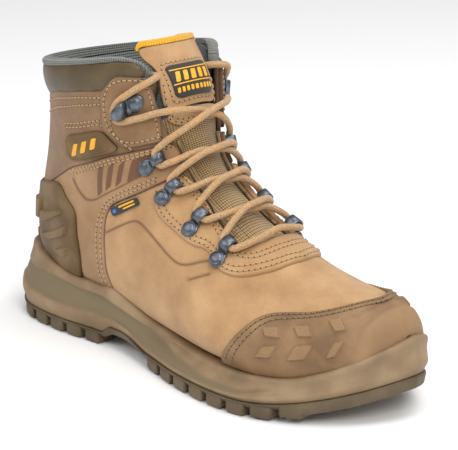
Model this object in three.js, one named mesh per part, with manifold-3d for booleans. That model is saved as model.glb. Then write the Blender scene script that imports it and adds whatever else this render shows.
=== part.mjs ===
// Steel toe work boot, right foot, EU 43. Millimetres, +Z up, +X to the toe, +Y to the inner side.
// The upper is a stack of thin panels on one last surface. A place on that surface is given as
// [station, angle]: stations run from the toe tip (0) to the collar (15), and the angle goes round
// the foot in degrees, 0 along the ridge of the instep, 180 under the sole and down the back seam,
// negative on the outer side.
import * as THREE from 'three';
import { mergeVertices } from 'three/addons/utils/BufferGeometryUtils.js';
import Module from 'manifold-3d';

const wasm = await Module();
wasm.setup();

// ---- driving dimensions ----
const bootLength = 312; // over the outsole
const soleWidth = 119; // across the ball
const shaftHeight = 191; // ground to the front of the collar
const seamGap = 0.5; // between neighbours in one layer
const leather = 2.2; // base panels
const overlay = 1.8; // panels sewn on top
const layerGap = 0.6; // between two layers
const hiddenGap = 1; // between the upper and what is sealed inside it
const bandRise = 1.9; // the ankle band stands this proud of its neighbours in front
const liningThick = 3; // padded lining
const capSteel = 1.8; // toe cap wall
const boardThick = 1.8; // insole board and stiffener
const plateThick = 1.6; // puncture-resistant plate
const footbedThick = 7;
const lugDepth = 5;
const outsoleWeb = 3.5; // rubber above the lugs
const lugLength = 12; // along the sole
const lugSpacing = 16;
const lugGroove = 5; // between the rows' blocks
const midsoleClear = 0.8; // midsole to upper
const laceDiameter = 4.2;
const strapWidth = 7; // lace loop strap
const strapThick = 1.4;
const rivetHead = 4.4; // radius
const rivetShank = 1.8; // radius
const shankClear = 0.35;
const tonguePad = 6.5;
const tongueBaseThick = 4;
const patchThick = 1.2;
const labelThick = 1;

// ---- last: the surface that the upper is pulled over, drawn at 312 x 119 x 191 and graded ----
const drawn = { length: 312, width: 119, height: 191, floor: 14 };
const grade = new THREE.Vector3(bootLength / drawn.length, soleWidth / drawn.width,
  (shaftHeight - drawn.floor) / (drawn.height - drawn.floor));
// each station: top point x z, bottom or back point x z, half widths outer and inner,
// middle line top and bottom, roundness, lean of the widest place to the bottom
const stations = [
  [301, 48, 299, 26, 0.25, 0.25, 8, 8, 0.8, 0],
  [299, 56, 296, 22, 17, 15, 8, 8, 0.8, 0.05],
  [292, 63, 288, 19, 31, 23, 7, 7, 0.8, 0.1],
  [275, 68.5, 270, 16, 43, 33, 6, 5, 0.82, 0.15],
  [252, 71, 248, 14, 50, 41, 5, 2, 0.86, 0.2],
  [228, 77, 224, 14, 54, 44, 4, 0, 0.92, 0.25],
  [204, 89, 190, 15, 52, 42, 2, -3, 0.95, 0.25],
  [183, 101, 150, 17, 47, 38, 1, -4, 0.95, 0.2],
  [166, 113, 110, 18, 44, 37, 0, -2, 0.92, 0.12],
  [155, 125, 66, 18, 43, 38, 0, 0, 0.9, 0.05],
  [148, 138, 30, 21, 42, 39, 0, 0, 0.9, 0],
  [145, 151, 10, 38, 42, 40, 0, 0, 0.9, -0.08],
  [142, 163, 8, 72, 43, 42, 0, 0, 0.92, -0.14],
  [139, 175, 16, 108, 45, 44, 0, 0, 0.94, -0.16],
  [136, 184, 20, 142, 47, 46, 0, 0, 0.94, -0.16],
  [134, 191, 15, 169, 48, 47, 0, 0, 0.94, -0.14],
  [132, 199, 14, 178, 48, 47, 0, 0, 0.94, -0.14],
];
const collarStation = 15;
const radians = Math.PI / 180;

// a point of the drawn boot, graded to the boot's own size
function graded(x, y, z) {
  return new THREE.Vector3(x, y, z - drawn.floor).multiply(grade).setZ(
    drawn.floor + (z - drawn.floor) * grade.z);
}

function stationAt(s) {
  const i = Math.min(Math.max(Math.floor(s), 0), stations.length - 2);
  const t = s - i;
  const row = (k) => stations[Math.min(Math.max(k, 0), stations.length - 1)];
  const [a, b, c, d] = [row(i - 1), row(i), row(i + 1), row(i + 2)];
  return b.map((v, k) => v + 0.5 * t * (c[k] - a[k]
    + t * (2 * a[k] - 5 * v + 4 * c[k] - d[k] + t * (3 * (v - c[k]) + d[k] - a[k]))));
}

function skin(s, angle) {
  const [tx, tz, bx, bz, outer, inner, yTop, yLow, round, lean] = stationAt(s);
  const turn = angle * radians;
  const side = Math.sin(turn);
  const down = (1 - Math.cos(turn)) / 2;
  const half = (side < 0 ? outer : inner) * Math.abs(side) ** round * (1 - lean * Math.cos(turn));
  return graded(tx + (bx - tx) * down, yTop + (yLow - yTop) * down + Math.sign(side) * half,
    tz + (bz - tz) * down);
}

function skinNormal(s, angle) {
  const low = Math.max(s - 0.02, 0);
  const along = skin(low + 0.04, angle).sub(skin(low, angle));
  const round = skin(s, angle + 1).sub(skin(s, angle - 1));
  return round.cross(along).normalize();
}

// point at a height over the skin
function onSkin(s, angle, height) {
  return skin(s, angle).addScaledVector(skinNormal(s, angle), height);
}

// ---- solids ----
function toSolid(geometry) {
  const bare = new THREE.BufferGeometry();
  bare.setAttribute('position', geometry.attributes.position);
  bare.setIndex(geometry.index);
  const merged = mergeVertices(bare, 1e-4);
  return new wasm.Manifold(new wasm.Mesh({ numProp: 3,
    vertProperties: new Float32Array(merged.attributes.position.array),
    triVerts: new Uint32Array(merged.index.array) }));
}

function toGeometry(solid) {
  const mesh = solid.getMesh();
  const geometry = new THREE.BufferGeometry();
  geometry.setAttribute('position', new THREE.BufferAttribute(mesh.vertProperties, 3));
  geometry.setIndex(new THREE.BufferAttribute(mesh.triVerts, 1));
  return geometry;
}

function mapVertices(geometry, map) {
  const at = geometry.attributes.position;
  const point = new THREE.Vector3();
  for (let i = 0; i < at.count; i += 1) {
    map(point.fromBufferAttribute(at, i));
    at.setXYZ(i, point.x, point.y, point.z);
  }
  return geometry;
}

// turns the faces outwards if a mapping has turned them in
function facingOut(geometry) {
  const { index, attributes: { position } } = geometry;
  const corner = (i) => new THREE.Vector3().fromBufferAttribute(position, index.getX(i));
  let volume = 0;
  for (let i = 0; i < index.count; i += 3) {
    volume += corner(i).dot(corner(i + 1).cross(corner(i + 2)));
  }
  if (volume < 0) index.array.reverse();
  return geometry;
}

function prism(points, low, high) {
  const shape = new THREE.Shape(points.map(([x, y]) => new THREE.Vector2(x, y)));
  const geometry = new THREE.ExtrudeGeometry(shape, { depth: high - low, bevelEnabled: false });
  return geometry.translate(0, 0, low);
}

function box(x0, x1, y0, y1, z0, z1) {
  return new THREE.BoxGeometry(x1 - x0, y1 - y0, z1 - z0)
    .translate((x0 + x1) / 2, (y0 + y1) / 2, (z0 + z1) / 2);
}

// closed body through a list of rings that all have the same number of points
function loft(rings) {
  const count = rings[0].length;
  const points = rings.flat();
  const index = [];
  for (let r = 0; r + 1 < rings.length; r += 1) {
    for (let k = 0; k < count; k += 1) {
      const [a, b] = [r * count + k, r * count + (k + 1) % count];
      index.push(a, b, a + count, b, b + count, a + count);
    }
  }
  for (const [first, flip] of [[0, true], [(rings.length - 1) * count, false]]) {
    const middle = points.length;
    points.push(rings[first / count].reduce((sum, p) => sum.add(p), new THREE.Vector3())
      .divideScalar(count));
    for (let k = 0; k < count; k += 1) {
      const pair = [first + k, first + (k + 1) % count];
      index.push(...(flip ? pair.reverse() : pair), middle);
    }
  }
  const geometry = new THREE.BufferGeometry().setFromPoints(points);
  geometry.setIndex(index);
  return facingOut(geometry);
}

// ---- flat patterns ----
// A pattern is cut on the table in rough millimetres, then laid on the last.
const tableStation = 20; // one station on the table
const tableDegree = 0.78; // one degree on the table
// the blank's cells are short where the last turns sharply, at the toe and round the heel
const stationMarks = [0, 0.4, 0.8, 1.2, 1.7, 2.3, 3, 3.8, 4.6, 5.4, 6.2, 7, 7.8, 8.6, 9.2, 9.7, 10.1,
  10.5, 10.9, 11.4, 12, 12.8, 13.6, 14.4, 15.2, 16];
const angleStep = 15;
const tableArch = 2.8e-4; // keeps the blank's cells out of one plane, so that cutting keeps them

function inset(points, distance) {
  const area = points.reduce((sum, [x, y], i) => {
    const [nx, ny] = points[(i + 1) % points.length];
    return sum + x * ny - nx * y;
  }, 0);
  const sign = Math.sign(area) * distance;
  return points.map(([x, y], i) => {
    const [px, py] = points[(i + points.length - 1) % points.length];
    const [nx, ny] = points[(i + 1) % points.length];
    const before = new THREE.Vector2(x - px, y - py).normalize();
    const after = new THREE.Vector2(nx - x, ny - y).normalize();
    const bisector = new THREE.Vector2(-before.y - after.y, before.x + after.x);
    const reach = Math.max(bisector.lengthSq() / 2, 0.4);
    return [x + bisector.x * sign / reach, y + bisector.y * sign / reach];
  });
}

// heights are numbers, or functions of station and angle
function panel(pattern, low, high) {
  const cut = inset(pattern.map(([s, a]) => [s * tableStation, a * tableDegree]), seamGap / 2);
  const cell = angleStep * tableDegree;
  const marks = stationMarks.map((mark) => mark * tableStation);
  const ends = (k) => [Math.min(...cut.map((p) => p[k])), Math.max(...cut.map((p) => p[k]))];
  const first = marks.findLastIndex((mark) => mark <= ends(0)[0]);
  const columns = marks.findIndex((mark) => mark >= ends(0)[1]) - first;
  const y0 = Math.floor(ends(1)[0] / cell);
  const rows = Math.ceil(ends(1)[1] / cell) - y0;
  const blank = new THREE.BoxGeometry(columns, rows, 1, columns, rows, 1);
  mapVertices(blank, (p) => p.set(marks[first + Math.round(p.x + columns / 2)],
    (y0 + p.y + rows / 2) * cell, p.z + 0.5));
  const arch = (p) => tableArch * (p.x * p.x + p.y * p.y);
  mapVertices(blank, (p) => p.setZ(p.z + arch(p)));
  const solid = toSolid(blank).intersect(toSolid(prism(cut, -1, 60)));
  const height = (h, s, a) => (typeof h === 'function' ? h(s, a) : h);
  return facingOut(mapVertices(toGeometry(solid), (p) => {
    const [s, a] = [p.x / tableStation, p.y / tableDegree];
    const share = Math.round(p.z - arch(p));
    p.copy(onSkin(s, a, share ? height(high, s, a) : height(low, s, a)));
  }));
}

const mirror = (pattern) => pattern.map(([s, a]) => [s, -a]);
// both halves of a pattern that is folded on the ridge (0) or on the back seam (180)
const unfold = (half, fold) => [...half,
  ...half.map(([s, a]) => [s, 2 * fold - a]).reverse().filter(([, a]) => a !== fold)];

// ---- lines that neighbouring panels share (outer side) ----
const throat = [[9.04, -28.5], [8.45, -25.5], [7.8, -27], [7.25, -31], [6.7, -34], [6.24, -37],
  [6.05, -29], [5.9, -18], [5.87, 0]];
const bandLower = [[9.04, -31.7], [9.27, -47], [9.47, -58], [9.88, -74], [9.74, -81], [9.48, -87],
  [9, -100], [8.42, -125], [8.1, -152]];
const bandUpper = [[12.2, -179.4], [11.82, -92], [11.3, -64.5], [10.88, -49.6], [10.44, -34.5],
  [10.35, -27.3]];
const collarFoot = [[13.5, -34], [13.55, -65], [13.83, -83], [14.05, -109], [14.1, -180]];
const collarRoll = [[14.73, -180], [14.73, -50], [14.56, -42], [14.26, -36.5], [13.82, -34],
  [13.5, -34]];
const capEdge = [[4.2, 0], [4.3, -30], [4.6, -60], [5, -90], [5.07, -120]];
const lastingAngle = 152; // the upper turns under the foot to here
const toeStart = 0.04;

const patterns = {
  vamp: unfold([...throat.slice().reverse(), ...bandLower, [toeStart, -lastingAngle]], 0),
  ankleBand: [[9.9, -24.5], [9.04, -28.5], ...bandLower, [9.2, -165], [10.3, -179.4], ...bandUpper],
  rearPanel: unfold([...mirror(collarFoot).reverse(), [12.8, 32.2], [11.5, 30.4],
    ...mirror(bandUpper).reverse().slice(0, -1), [12.2, 180]], 180),
  collarPad: unfold([...mirror(collarRoll).slice(0, -1), ...mirror(collarFoot)], 180),
  collarLining: unfold([[15, 180], [15, 54], [14.85, 44], [14.5, 36], [14, 31.5], [13.5, 31],
    ...mirror(collarRoll).reverse()], 180),
  bumper: unfold([[2.62, 0], [2.66, -8], [2.94, -29], [3.43, -46], [4.05, -54], [4.6, -64],
    [4.9, -84], [5.3, -121], [5.6, -150], [toeStart, -150]], 0),
  heelCounter: unfold([[11, 180], [10.5, 165], [9.7, 150], [9.2, 134], [9.6, 110], [10.35, 98],
    [10.7, 95], [11.3, 100], [11.76, 105], [12.15, 130], [12.5, 180]], 180),
  eyestay: unfold([[5, 0], [5.15, -29], [5.5, -48], [5.87, -57], [6.3, -57.5], [6.7, -52],
    [7.07, -58.5], [8.5, -58.5], [9.08, -51], [9.2, -47], [8.96, -31.5], [8.96, -28],
    ...throat.slice(1)], 0),
  sideBadge: [[12.78, -98.5], [12.3, -67.5], [11.25, -57], [12, -93]],
  eyeletPanel: [[14, -53.5], [13.5, -34.5], [12.8, -32.2], [11.5, -30.5], [10.6, -32.5],
    [11.2, -54], [12.3, -66], [13.47, -65.5]],
  seamTag: [[9.8, -75.5], [9.41, -60], [9.13, -61.5], [9.5, -77.5]],
  facingTape: [[6.5, -32.5], [7.25, -29], [7.8, -25], [8.45, -23.5], [9.9, -22.5], [10.3, -25],
    [10.3, -20.5], [8.45, -18.5], [7.8, -20], [7.25, -24], [6.5, -27.5]],
  toeCap: unfold([...capEdge, [5.1, -140], [0.06, -140]], 0),
  capEdgePad: unfold([[4.65, 0], [4.75, -30], [5.05, -60], [5.5, -90], [5.55, -120],
    ...capEdge.slice().reverse()], 0),
  heelStiffener: unfold([[10.4, 180], [9.9, 166], [9.35, 148], [9.3, 130], [9.9, 110],
    [10.9, 104], [11.5, 120], [11.9, 180]], 180),
  plate: unfold([[0.6, 180], [0.6, 156], [8, 152], [9.2, 160], [9.8, 180]], 180),
  vampLining: unfold([[5.2, 0], [5.3, -24], [6, -42], [6.2, -60], [6.2, -179.5], [0.1, -179.5]], 0),
  quarterLining: unfold([[6.24, 180], [6.24, 46], [13.4, 46], [14.5, 48], [14.7, 60],
    [14.7, 180]], 180),
  gusset: [[6.35, -38.5], [11.2, -38.5], [11.2, -45], [6.35, -45]],
  tongueBase: unfold([[5.5, 0], [5.5, -14], [5.95, -26], [6.3, -37], [11.4, -37], [11.4, 0]], 0),
};

// The tongue's free top folds at this station. Its edges draw in where the lace ends pass them.
const foldStation = 11.45;
const tongueHalf = [[foldStation + 0.08, -28], [12.8, -26.5], [13.4, -24.5], [13.9, -25.5],
  [14.6, -29.5], [15.05, -30.6], [15.36, -26.8], [15.42, 0]];
patterns.tonguePad = unfold([[foldStation + 0.08, 0], ...tongueHalf], 0);
patterns.tonguePatch = unfold([[foldStation + 0.12, 0], [foldStation + 0.12, -27],
  ...tongueHalf.slice(1)], 0);
patterns.tongueLabel = unfold([[12.2, 0], [12.2, -17], [13.95, -19], [13.95, 0]], 0);
patterns.pullTape = unfold([...tongueHalf.slice(5).reverse(), [15.15, -33], [15.55, -31.5],
  [15.8, -27], [15.86, 0]], 0);

// ---- heights of the layers over the skin ----
const overlayLow = layerGap + 0.1;
const overlayHigh = overlayLow + overlay;
const smooth = (value, from, to) => THREE.MathUtils.smoothstep(value, from, to);
const turned = (a) => Math.abs(((a + 180) % 360 + 360) % 360 - 180);
const capTop = -leather - hiddenGap;
const boardTop = capTop - plateThick - layerGap;
// the lining makes room for the cap and the stiffener, and for the plate and board underfoot
const liningTop = (s, a) => {
  const toe = 1 - smooth(s, 5.7, 6.6);
  const heel = smooth(turned(a), 84, 98) * (1 - smooth(s, 13.9, 14.4)) * smooth(s, 8, 8.8);
  const under = smooth(turned(a), 128, 142) * (1 - smooth(s, 10.1, 10.6));
  return capTop - 0.4 - Math.max((capSteel + layerGap) * Math.max(toe, heel),
    (plateThick + boardThick + layerGap * 2) * under);
};
const liningLow = (s, a) => liningTop(s, a) - liningThick;
const collarSwell = (s, a) => 2.5 * smooth(turned(a), 68, 84);
const bandTop = (s, a) => bandRise * (1 - smooth(turned(a), 70, 84));
const lean = (s) => 11 * smooth(s, 12, 16) ** 0.9;
const tongueFront = -leather - layerGap - 0.2;
const tongueLayer = (depth) => (s) => tongueFront - depth - lean(s);

// ---- materials ----
const material = (color, roughness, metalness = 0) => (
  new THREE.MeshStandardMaterial({ color, roughness, metalness }));
const nubuck = material('#b9966a', 0.85);
const scuffRubber = material('#8f7150', 0.7);
const counterRubber = material('#7b6645', 0.7);
const smoothLeather = material('#6b5a3e', 0.55);
const greyTextile = material('#6e706b', 0.95);
const tanWebbing = material('#8f7a55', 0.95);
const yellowWebbing = material('#f0b323', 0.8);
const labelRubber = material('#2d2b28', 0.6);
const laceBraid = material('#c9a57a', 0.9);
const gunmetal = material('#4b4f56', 0.35, 0.9);
const steel = material('#9a9da1', 0.4, 0.9);
const soleRubber = material('#5f5140', 0.8);
const midsoleFoam = material('#95805f', 0.7);
const foam = material('#3f4348', 0.95);
const board = material('#a08d6c', 0.95);

const boot = new THREE.Group();
function place(name, geometry, finish) {
  const mesh = new THREE.Mesh(geometry, finish);
  mesh.name = name;
  boot.add(mesh);
}
const sides = [['lateral', (pattern) => pattern, -1], ['medial', mirror, 1]];

// ---- lace hardware: each loop or hook is held by one rivet ----
// places of the rivets, outer side: station, angle, height of the panel that it stands on
const hardware = [
  ['lace_loop_1', 6.3, -53, overlayHigh], ['lace_loop_2', 7.4, -50.5, overlayHigh],
  ['lace_loop_3', 8.72, -48, overlayHigh], ['lace_loop_4', 10.05, -46.5, bandRise],
  ['lace_hook', 12.6, -43.5, overlayHigh],
];
const archInner = laceDiameter + 2; // room under the strap
const archFrom = 4.8; // rivet to the near leg of the arch
const archSpan = 7;

// strap that leaves the rivet, arches over the lace and comes down on the facing edge
function loopProfile() {
  const shape = new THREE.Shape();
  const [near, far] = [archFrom, archFrom + archSpan + strapThick * 2];
  const top = archInner + strapThick;
  const foot = 1.6; // the corners of the arch are cut off by this much
  shape.setFromPoints([[-4.6, 0], [near + strapThick, 0], [near + strapThick, archInner - foot],
    [near + strapThick + foot, archInner], [far - strapThick - foot, archInner],
    [far - strapThick, archInner - foot], [far - strapThick, 0], [far, 0], [far, top - foot * 1.4],
    [far - foot * 1.4, top], [near + foot * 1.4, top], [near, top - foot * 1.4], [near, strapThick],
    [-4.6, strapThick]].map(([x, y]) => new THREE.Vector2(x, y)));
  return shape;
}

// plate, stem and a lip that reaches back over the lace
function hookProfile() {
  const shape = new THREE.Shape();
  const lip = laceDiameter + 1.4;
  const points = [[4.6, 0], [4.6, strapThick], [-5, strapThick], [-5, lip + strapThick],
    [-12, lip + strapThick + 0.9], [-13.2, lip + 0.6], [-12, lip + 0.4], [-6.4, lip],
    [-6.4, 0]];
  shape.setFromPoints(points.map(([x, y]) => new THREE.Vector2(x, y)));
  return shape;
}

// millimetres to one degree and to one station
function scaleAt(s, angle) {
  return [skin(s, angle + 1).distanceTo(skin(s, angle - 1)) / 2,
    skin(s + 0.05, angle).distanceTo(skin(s - 0.05, angle)) * 10];
}

// a profile drawn in millimetres, laid across the facing: x to the throat, y off the panel
function wrapProfile(shape, width, s, angle, seat) {
  const geometry = new THREE.ExtrudeGeometry(shape, { depth: width, bevelEnabled: false,
    curveSegments: 2 }).translate(0, 0, -width / 2);
  const towards = -Math.sign(angle);
  const [perDegree, perStation] = scaleAt(s, angle);
  return facingOut(mapVertices(toGeometry(toSolid(geometry)), (p) => {
    const a = angle + towards * p.x / perDegree;
    p.copy(onSkin(s + p.z / perStation, a, seat + p.y));
  }));
}

// domed head over the plate, shank down through the panels
function rivetSolid(s, angle, seat) {
  const foot = -leather;
  const [head, top] = [seat + layerGap + strapThick + 0.25, 1.7];
  const profile = [[0, foot], [rivetShank, foot], [rivetShank, head], [rivetHead, head],
    [rivetHead * 0.75, head + top], [0, head + top]];
  const geometry = new THREE.LatheGeometry(profile.map(([x, y]) => new THREE.Vector2(x, y)), 8);
  return standUp(geometry, s, angle);
}

function shankHole(s, angle) {
  const radius = rivetShank + shankClear;
  return standUp(new THREE.CylinderGeometry(radius, radius, 30, 8), s, angle);
}

function standUp(geometry, s, angle) {
  const turn = new THREE.Quaternion()
    .setFromUnitVectors(new THREE.Vector3(0, 1, 0), skinNormal(s, angle));
  return geometry.applyQuaternion(turn).translate(...skin(s, angle));
}

const shankHoles = [];
for (const [name, s, a, seat] of hardware) {
  for (const [side, flip] of sides) {
    const [[, angle]] = flip([[s, a]]);
    const hole = toSolid(shankHole(s, angle));
    shankHoles.push(hole);
    const profile = name === 'lace_hook' ? hookProfile() : loopProfile();
    const strap = wrapProfile(profile, strapWidth, s, angle, seat + layerGap);
    place(`${name}_${side}`, toGeometry(toSolid(strap).subtract(hole)), gunmetal);
    place(`${name.replace('lace', 'rivet')}_${side}`, rivetSolid(s, angle, seat), gunmetal);
  }
}

// ---- lace ----
// One lace: a bar across the bottom, crossed through the loops and round the top hooks. Each free end
// hangs inside the shaft behind the tongue.
const laceHalf = laceDiameter / 2;
const loopPass = laceHalf * 2.05; // half the straight run under a strap
const loopTurn = laceHalf * 3.6; // where the lace has turned out of the strap

function lacePoint(s, side, angle, height) {
  return onSkin(s, side * angle, height);
}

// through one loop, from below to above
function throughLoop([, s, angle, seat], side, below, above) {
  const a = Math.abs(angle);
  const [perDegree, perStation] = scaleAt(s, side * a);
  const middleAngle = a - (archFrom + strapThick + archSpan / 2) / perDegree;
  const height = seat + layerGap + archInner / 2;
  return [[-below, 6], [-loopPass, 0], [loopPass, 0], [above, 6]].map(([along, turn]) => (
    lacePoint(s + along / perStation, side, middleAngle - turn, height)));
}

// across the tongue from one side at the first station to the other side at the second
function crossing(from, to, side, isOver) {
  const heights = isOver ? [8, 7.2, 8] : [4.2, 1.6, 4.2];
  return [0.28, 0.5, 0.72].map((share, k) => (
    lacePoint(from + (to - from) * share, side, 13 - 13 * k, heights[k])));
}

// round a hook and over the collar's edge, then down behind the tongue
const hookTurn = [[11.86, 30, 5.2], [12.04, 43, 5.4], [12.28, 54, 5.5], [12.6, 56.3, 5.5],
  [12.92, 54, 5.5], [13.18, 43, 5.3], [13.36, 31.5, 5], [13.4, 27.8, 0], [13.4, 27.8, -9],
  [13.4, 28, -16], [13.3, 25, -22.5], [13.1, 18, -26]];
const laceTail = [[113, 12, 155], [114.5, 13, 132], [115.5, 14, 109], [117, 13, 86]];

// one half of the lace, from its first loop to its free end
function laceStrand(firstSide, firstOver) {
  const clear = 0.42; // stations between a loop and the crossing next to it
  const points = [];
  let side = firstSide;
  let isOver = firstOver;
  for (let i = 0; i < 4; i += 1) {
    const [below, above] = [i === 3 ? loopTurn * 0.9 : loopTurn, i === 2 ? loopTurn * 0.9 : loopTurn];
    points.push(...throughLoop(hardware[i], side, below, above));
    const next = i === 3 ? hookTurn[0][0] : hardware[i + 1][1] - clear;
    points.push(...crossing(hardware[i][1] + clear, next, side, isOver));
    side = -side;
    isOver = !isOver;
  }
  points.push(...hookTurn.map(([s, a, h]) => lacePoint(s, side, a, h)));
  points.push(...laceTail.map(([x, y, z]) => graded(x, side * y, z)));
  return points;
}
const bottomBar = [[5.93, 16, 5.4], [5.96, 0, 5.2], [5.93, -16, 5.4]]
  .map(([s, a, h]) => lacePoint(s, 1, a, h));
const laceRoute = [...laceStrand(1, false).reverse(), ...bottomBar, ...laceStrand(-1, true)];

// a tube whose rings stand at the route's own points
class LaceCurve extends THREE.CatmullRomCurve3 {
  getPointAt(share, target) {
    return this.getPoint(share, target);
  }

  getTangentAt(share, target) {
    return this.getTangent(share, target);
  }
}
const laceCurve = new LaceCurve(laceRoute, false, 'centripetal');
const laceSection = new THREE.Shape().absarc(0, 0, laceHalf, 0, 2 * Math.PI);
place('lace', new THREE.ExtrudeGeometry(laceSection, { steps: laceRoute.length - 1,
  curveSegments: 4, bevelEnabled: false, extrudePath: laceCurve }), laceBraid);

const agletLength = 22;
const agletRadius = 2.3;
for (const [end, side] of [[laceRoute[0], 'medial'], [laceRoute.at(-1), 'lateral']]) {
  const aglet = new THREE.CylinderGeometry(agletRadius, agletRadius * 0.8, agletLength, 10)
    .rotateX(Math.PI / 2).translate(end.x, end.y, end.z - 0.3 - agletLength / 2);
  place(`aglet_${side}`, aglet, smoothLeather);
}

// a panel that rivets pass through
function riveted(geometry) {
  return toGeometry(shankHoles.reduce((solid, hole) => solid.subtract(hole), toSolid(geometry)));
}

// ---- upper ----
place('vamp', riveted(panel(patterns.vamp, -leather, 0)), nubuck);
place('eyestay', riveted(panel(patterns.eyestay, overlayLow, overlayHigh)), nubuck);
place('rear_panel', riveted(panel(patterns.rearPanel, -leather, 0)), nubuck);
place('collar_pad', panel(patterns.collarPad, -leather, collarSwell), smoothLeather);
place('collar_lining', panel(patterns.collarLining, -leather - liningThick - layerGap, 0.5),
  greyTextile);
place('toe_bumper', panel(patterns.bumper, overlayLow, overlayHigh), scuffRubber);
place('heel_counter', panel(patterns.heelCounter, overlayLow, overlayHigh), counterRubber);
for (const [side, flip] of sides) {
  place(`ankle_band_${side}`, riveted(panel(flip(patterns.ankleBand), -leather, bandTop)), nubuck);
  place(`side_badge_${side}`, panel(flip(patterns.sideBadge), overlayLow, overlayHigh),
    counterRubber);
  place(`eyelet_panel_${side}`, riveted(panel(flip(patterns.eyeletPanel), overlayLow,
    overlayHigh)), nubuck);
  place(`facing_tape_${side}`, panel(flip(patterns.facingTape), -leather, -0.6), tanWebbing);
  place(`tongue_gusset_${side}`, panel(flip(patterns.gusset), tongueFront - 1.8, tongueFront),
    greyTextile);
}

place('seam_tag', panel(patterns.seamTag, overlayLow, overlayLow + labelThick), labelRubber);

// ---- inside ----
place('toe_cap', panel(patterns.toeCap, capTop - capSteel, capTop), steel);
place('toe_cap_edge_pad', panel(patterns.capEdgePad, capTop - capSteel, capTop), foam);
place('heel_stiffener', panel(patterns.heelStiffener, capTop - capSteel, capTop), board);
place('puncture_plate', panel(patterns.plate, capTop - plateThick, capTop), greyTextile);
place('insole_board', panel(patterns.plate, boardTop - boardThick, boardTop), board);
place('vamp_lining', panel(patterns.vampLining, liningLow, liningTop), greyTextile);
place('quarter_lining', panel(patterns.quarterLining, liningLow, liningTop), greyTextile);

// ---- tongue ----
place('tongue_base', panel(patterns.tongueBase, tongueFront - tongueBaseThick, tongueFront),
  tanWebbing);
const padFront = patchThick + 0.6;
place('tongue_top_pad', panel(patterns.tonguePad, tongueLayer(padFront + tonguePad),
  tongueLayer(padFront)), foam);
place('tongue_patch', panel(patterns.tonguePatch, tongueLayer(patchThick), tongueLayer(0)), nubuck);
place('tongue_label', panel(patterns.tongueLabel, tongueLayer(-0.3), tongueLayer(-0.3 - labelThick)),
  labelRubber);
place('tongue_pull_tape', panel(patterns.pullTape, tongueLayer(padFront + tonguePad),
  tongueLayer(0)), yellowWebbing);

// ---- closed body of the whole upper at a height over the skin ----
function wholeUpper(height) {
  const rings = [];
  for (const s of stationMarks.filter((mark) => mark <= collarStation)) {
    const ring = [];
    for (let a = 0; a < 360; a += angleStep) ring.push(onSkin(s, a, height));
    rings.push(ring);
  }
  return toSolid(loft(rings));
}

// ---- sole ----
// plan outline at the ground: x, y, from the heel along one side to the toe
const outerEdge = [[-2, 0], [1, -17], [9, -31], [27, -42], [60, -45.5], [92, -43], [122, -44],
  [150, -50], [180, -58], [212, -62], [238, -60], [262, -50], [283, -34], [297, -18], [306, 0],
  [309, 10]];
const innerEdge = [[-2, 4], [2, 15], [12, 28], [30, 37], [60, 40], [90, 38], [120, 37], [150, 39],
  [180, 45], [210, 51], [235, 54], [260, 53], [280, 46], [295, 35], [305, 23], [309, 12]];
const springStart = 232; // the toe lifts from here
const springHeight = 17;
const toeEnd = 309;
const spring = (x) => springHeight * Math.max((x / grade.x - springStart) / (toeEnd - springStart), 0) ** 2;
const heelLift = (x) => 3 * Math.max(1 - x / grade.x / 22, 0) ** 2;

function edgeCurve(points) {
  const curve = new THREE.SplineCurve(points.map(([x, y]) => (
    new THREE.Vector2(x * grade.x, y * grade.y))));
  return curve.getPoints(22);
}
const outerLine = edgeCurve(outerEdge);
const innerLine = edgeCurve(innerEdge);

// rings along the sole; heights and insets are functions of x and side
function soleLoft(levels) {
  const rings = outerLine.map((outer, i) => {
    const inner = innerLine[i];
    const ring = [];
    const middle = outer.clone().add(inner).multiplyScalar(0.5);
    for (const [edge, order] of [[outer, levels], [inner, levels.slice().reverse()]]) {
      for (const { grow, height } of order) {
        const away = edge.clone().sub(middle).normalize().multiplyScalar(grow);
        const point = edge.clone().add(away);
        ring.push(new THREE.Vector3(point.x + grow * endPush(i), point.y, height(point.x)));
      }
    }
    return ring;
  });
  return toSolid(loft(rings));
}
const endPush = (i) => (i === 0 ? -1 : Number(i === outerLine.length - 1));
const lift = (z) => (x) => z + spring(x) + heelLift(x);
const webTop = lugDepth + outsoleWeb;

let outsole = soleLoft([{ grow: -1, height: lift(lugDepth) }, { grow: -0.4, height: lift(webTop) }]);
const plan = [...outerLine, ...innerLine.slice().reverse()].map((p) => [p.x, p.y]);
const treadPlan = toSolid(prism(inset(plan, 1.2), -1, 60));
const columns = [[-70, -28], [-28 + lugGroove, 22 - lugGroove], [22, 70]];
const archFront = 142; // the waist between heel and forefoot has no lugs
const archBack = 96;
for (let x = 3; x + lugLength < toeEnd - 4; x += lugSpacing) {
  const inWaist = x + lugLength > archBack && x < archFront;
  if (inWaist) continue;
  const middle = (x + lugLength / 2) * grade.x;
  const rise = spring(middle) + heelLift(middle);
  for (const [y0, y1] of columns) {
    const lug = toSolid(box(x * grade.x, (x + lugLength) * grade.x, y0 * grade.y, y1 * grade.y,
      rise, rise + lugDepth + outsoleWeb / 2));
    outsole = outsole.add(lug.intersect(treadPlan));
  }
}
place('outsole', toGeometry(outsole), soleRubber);

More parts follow.
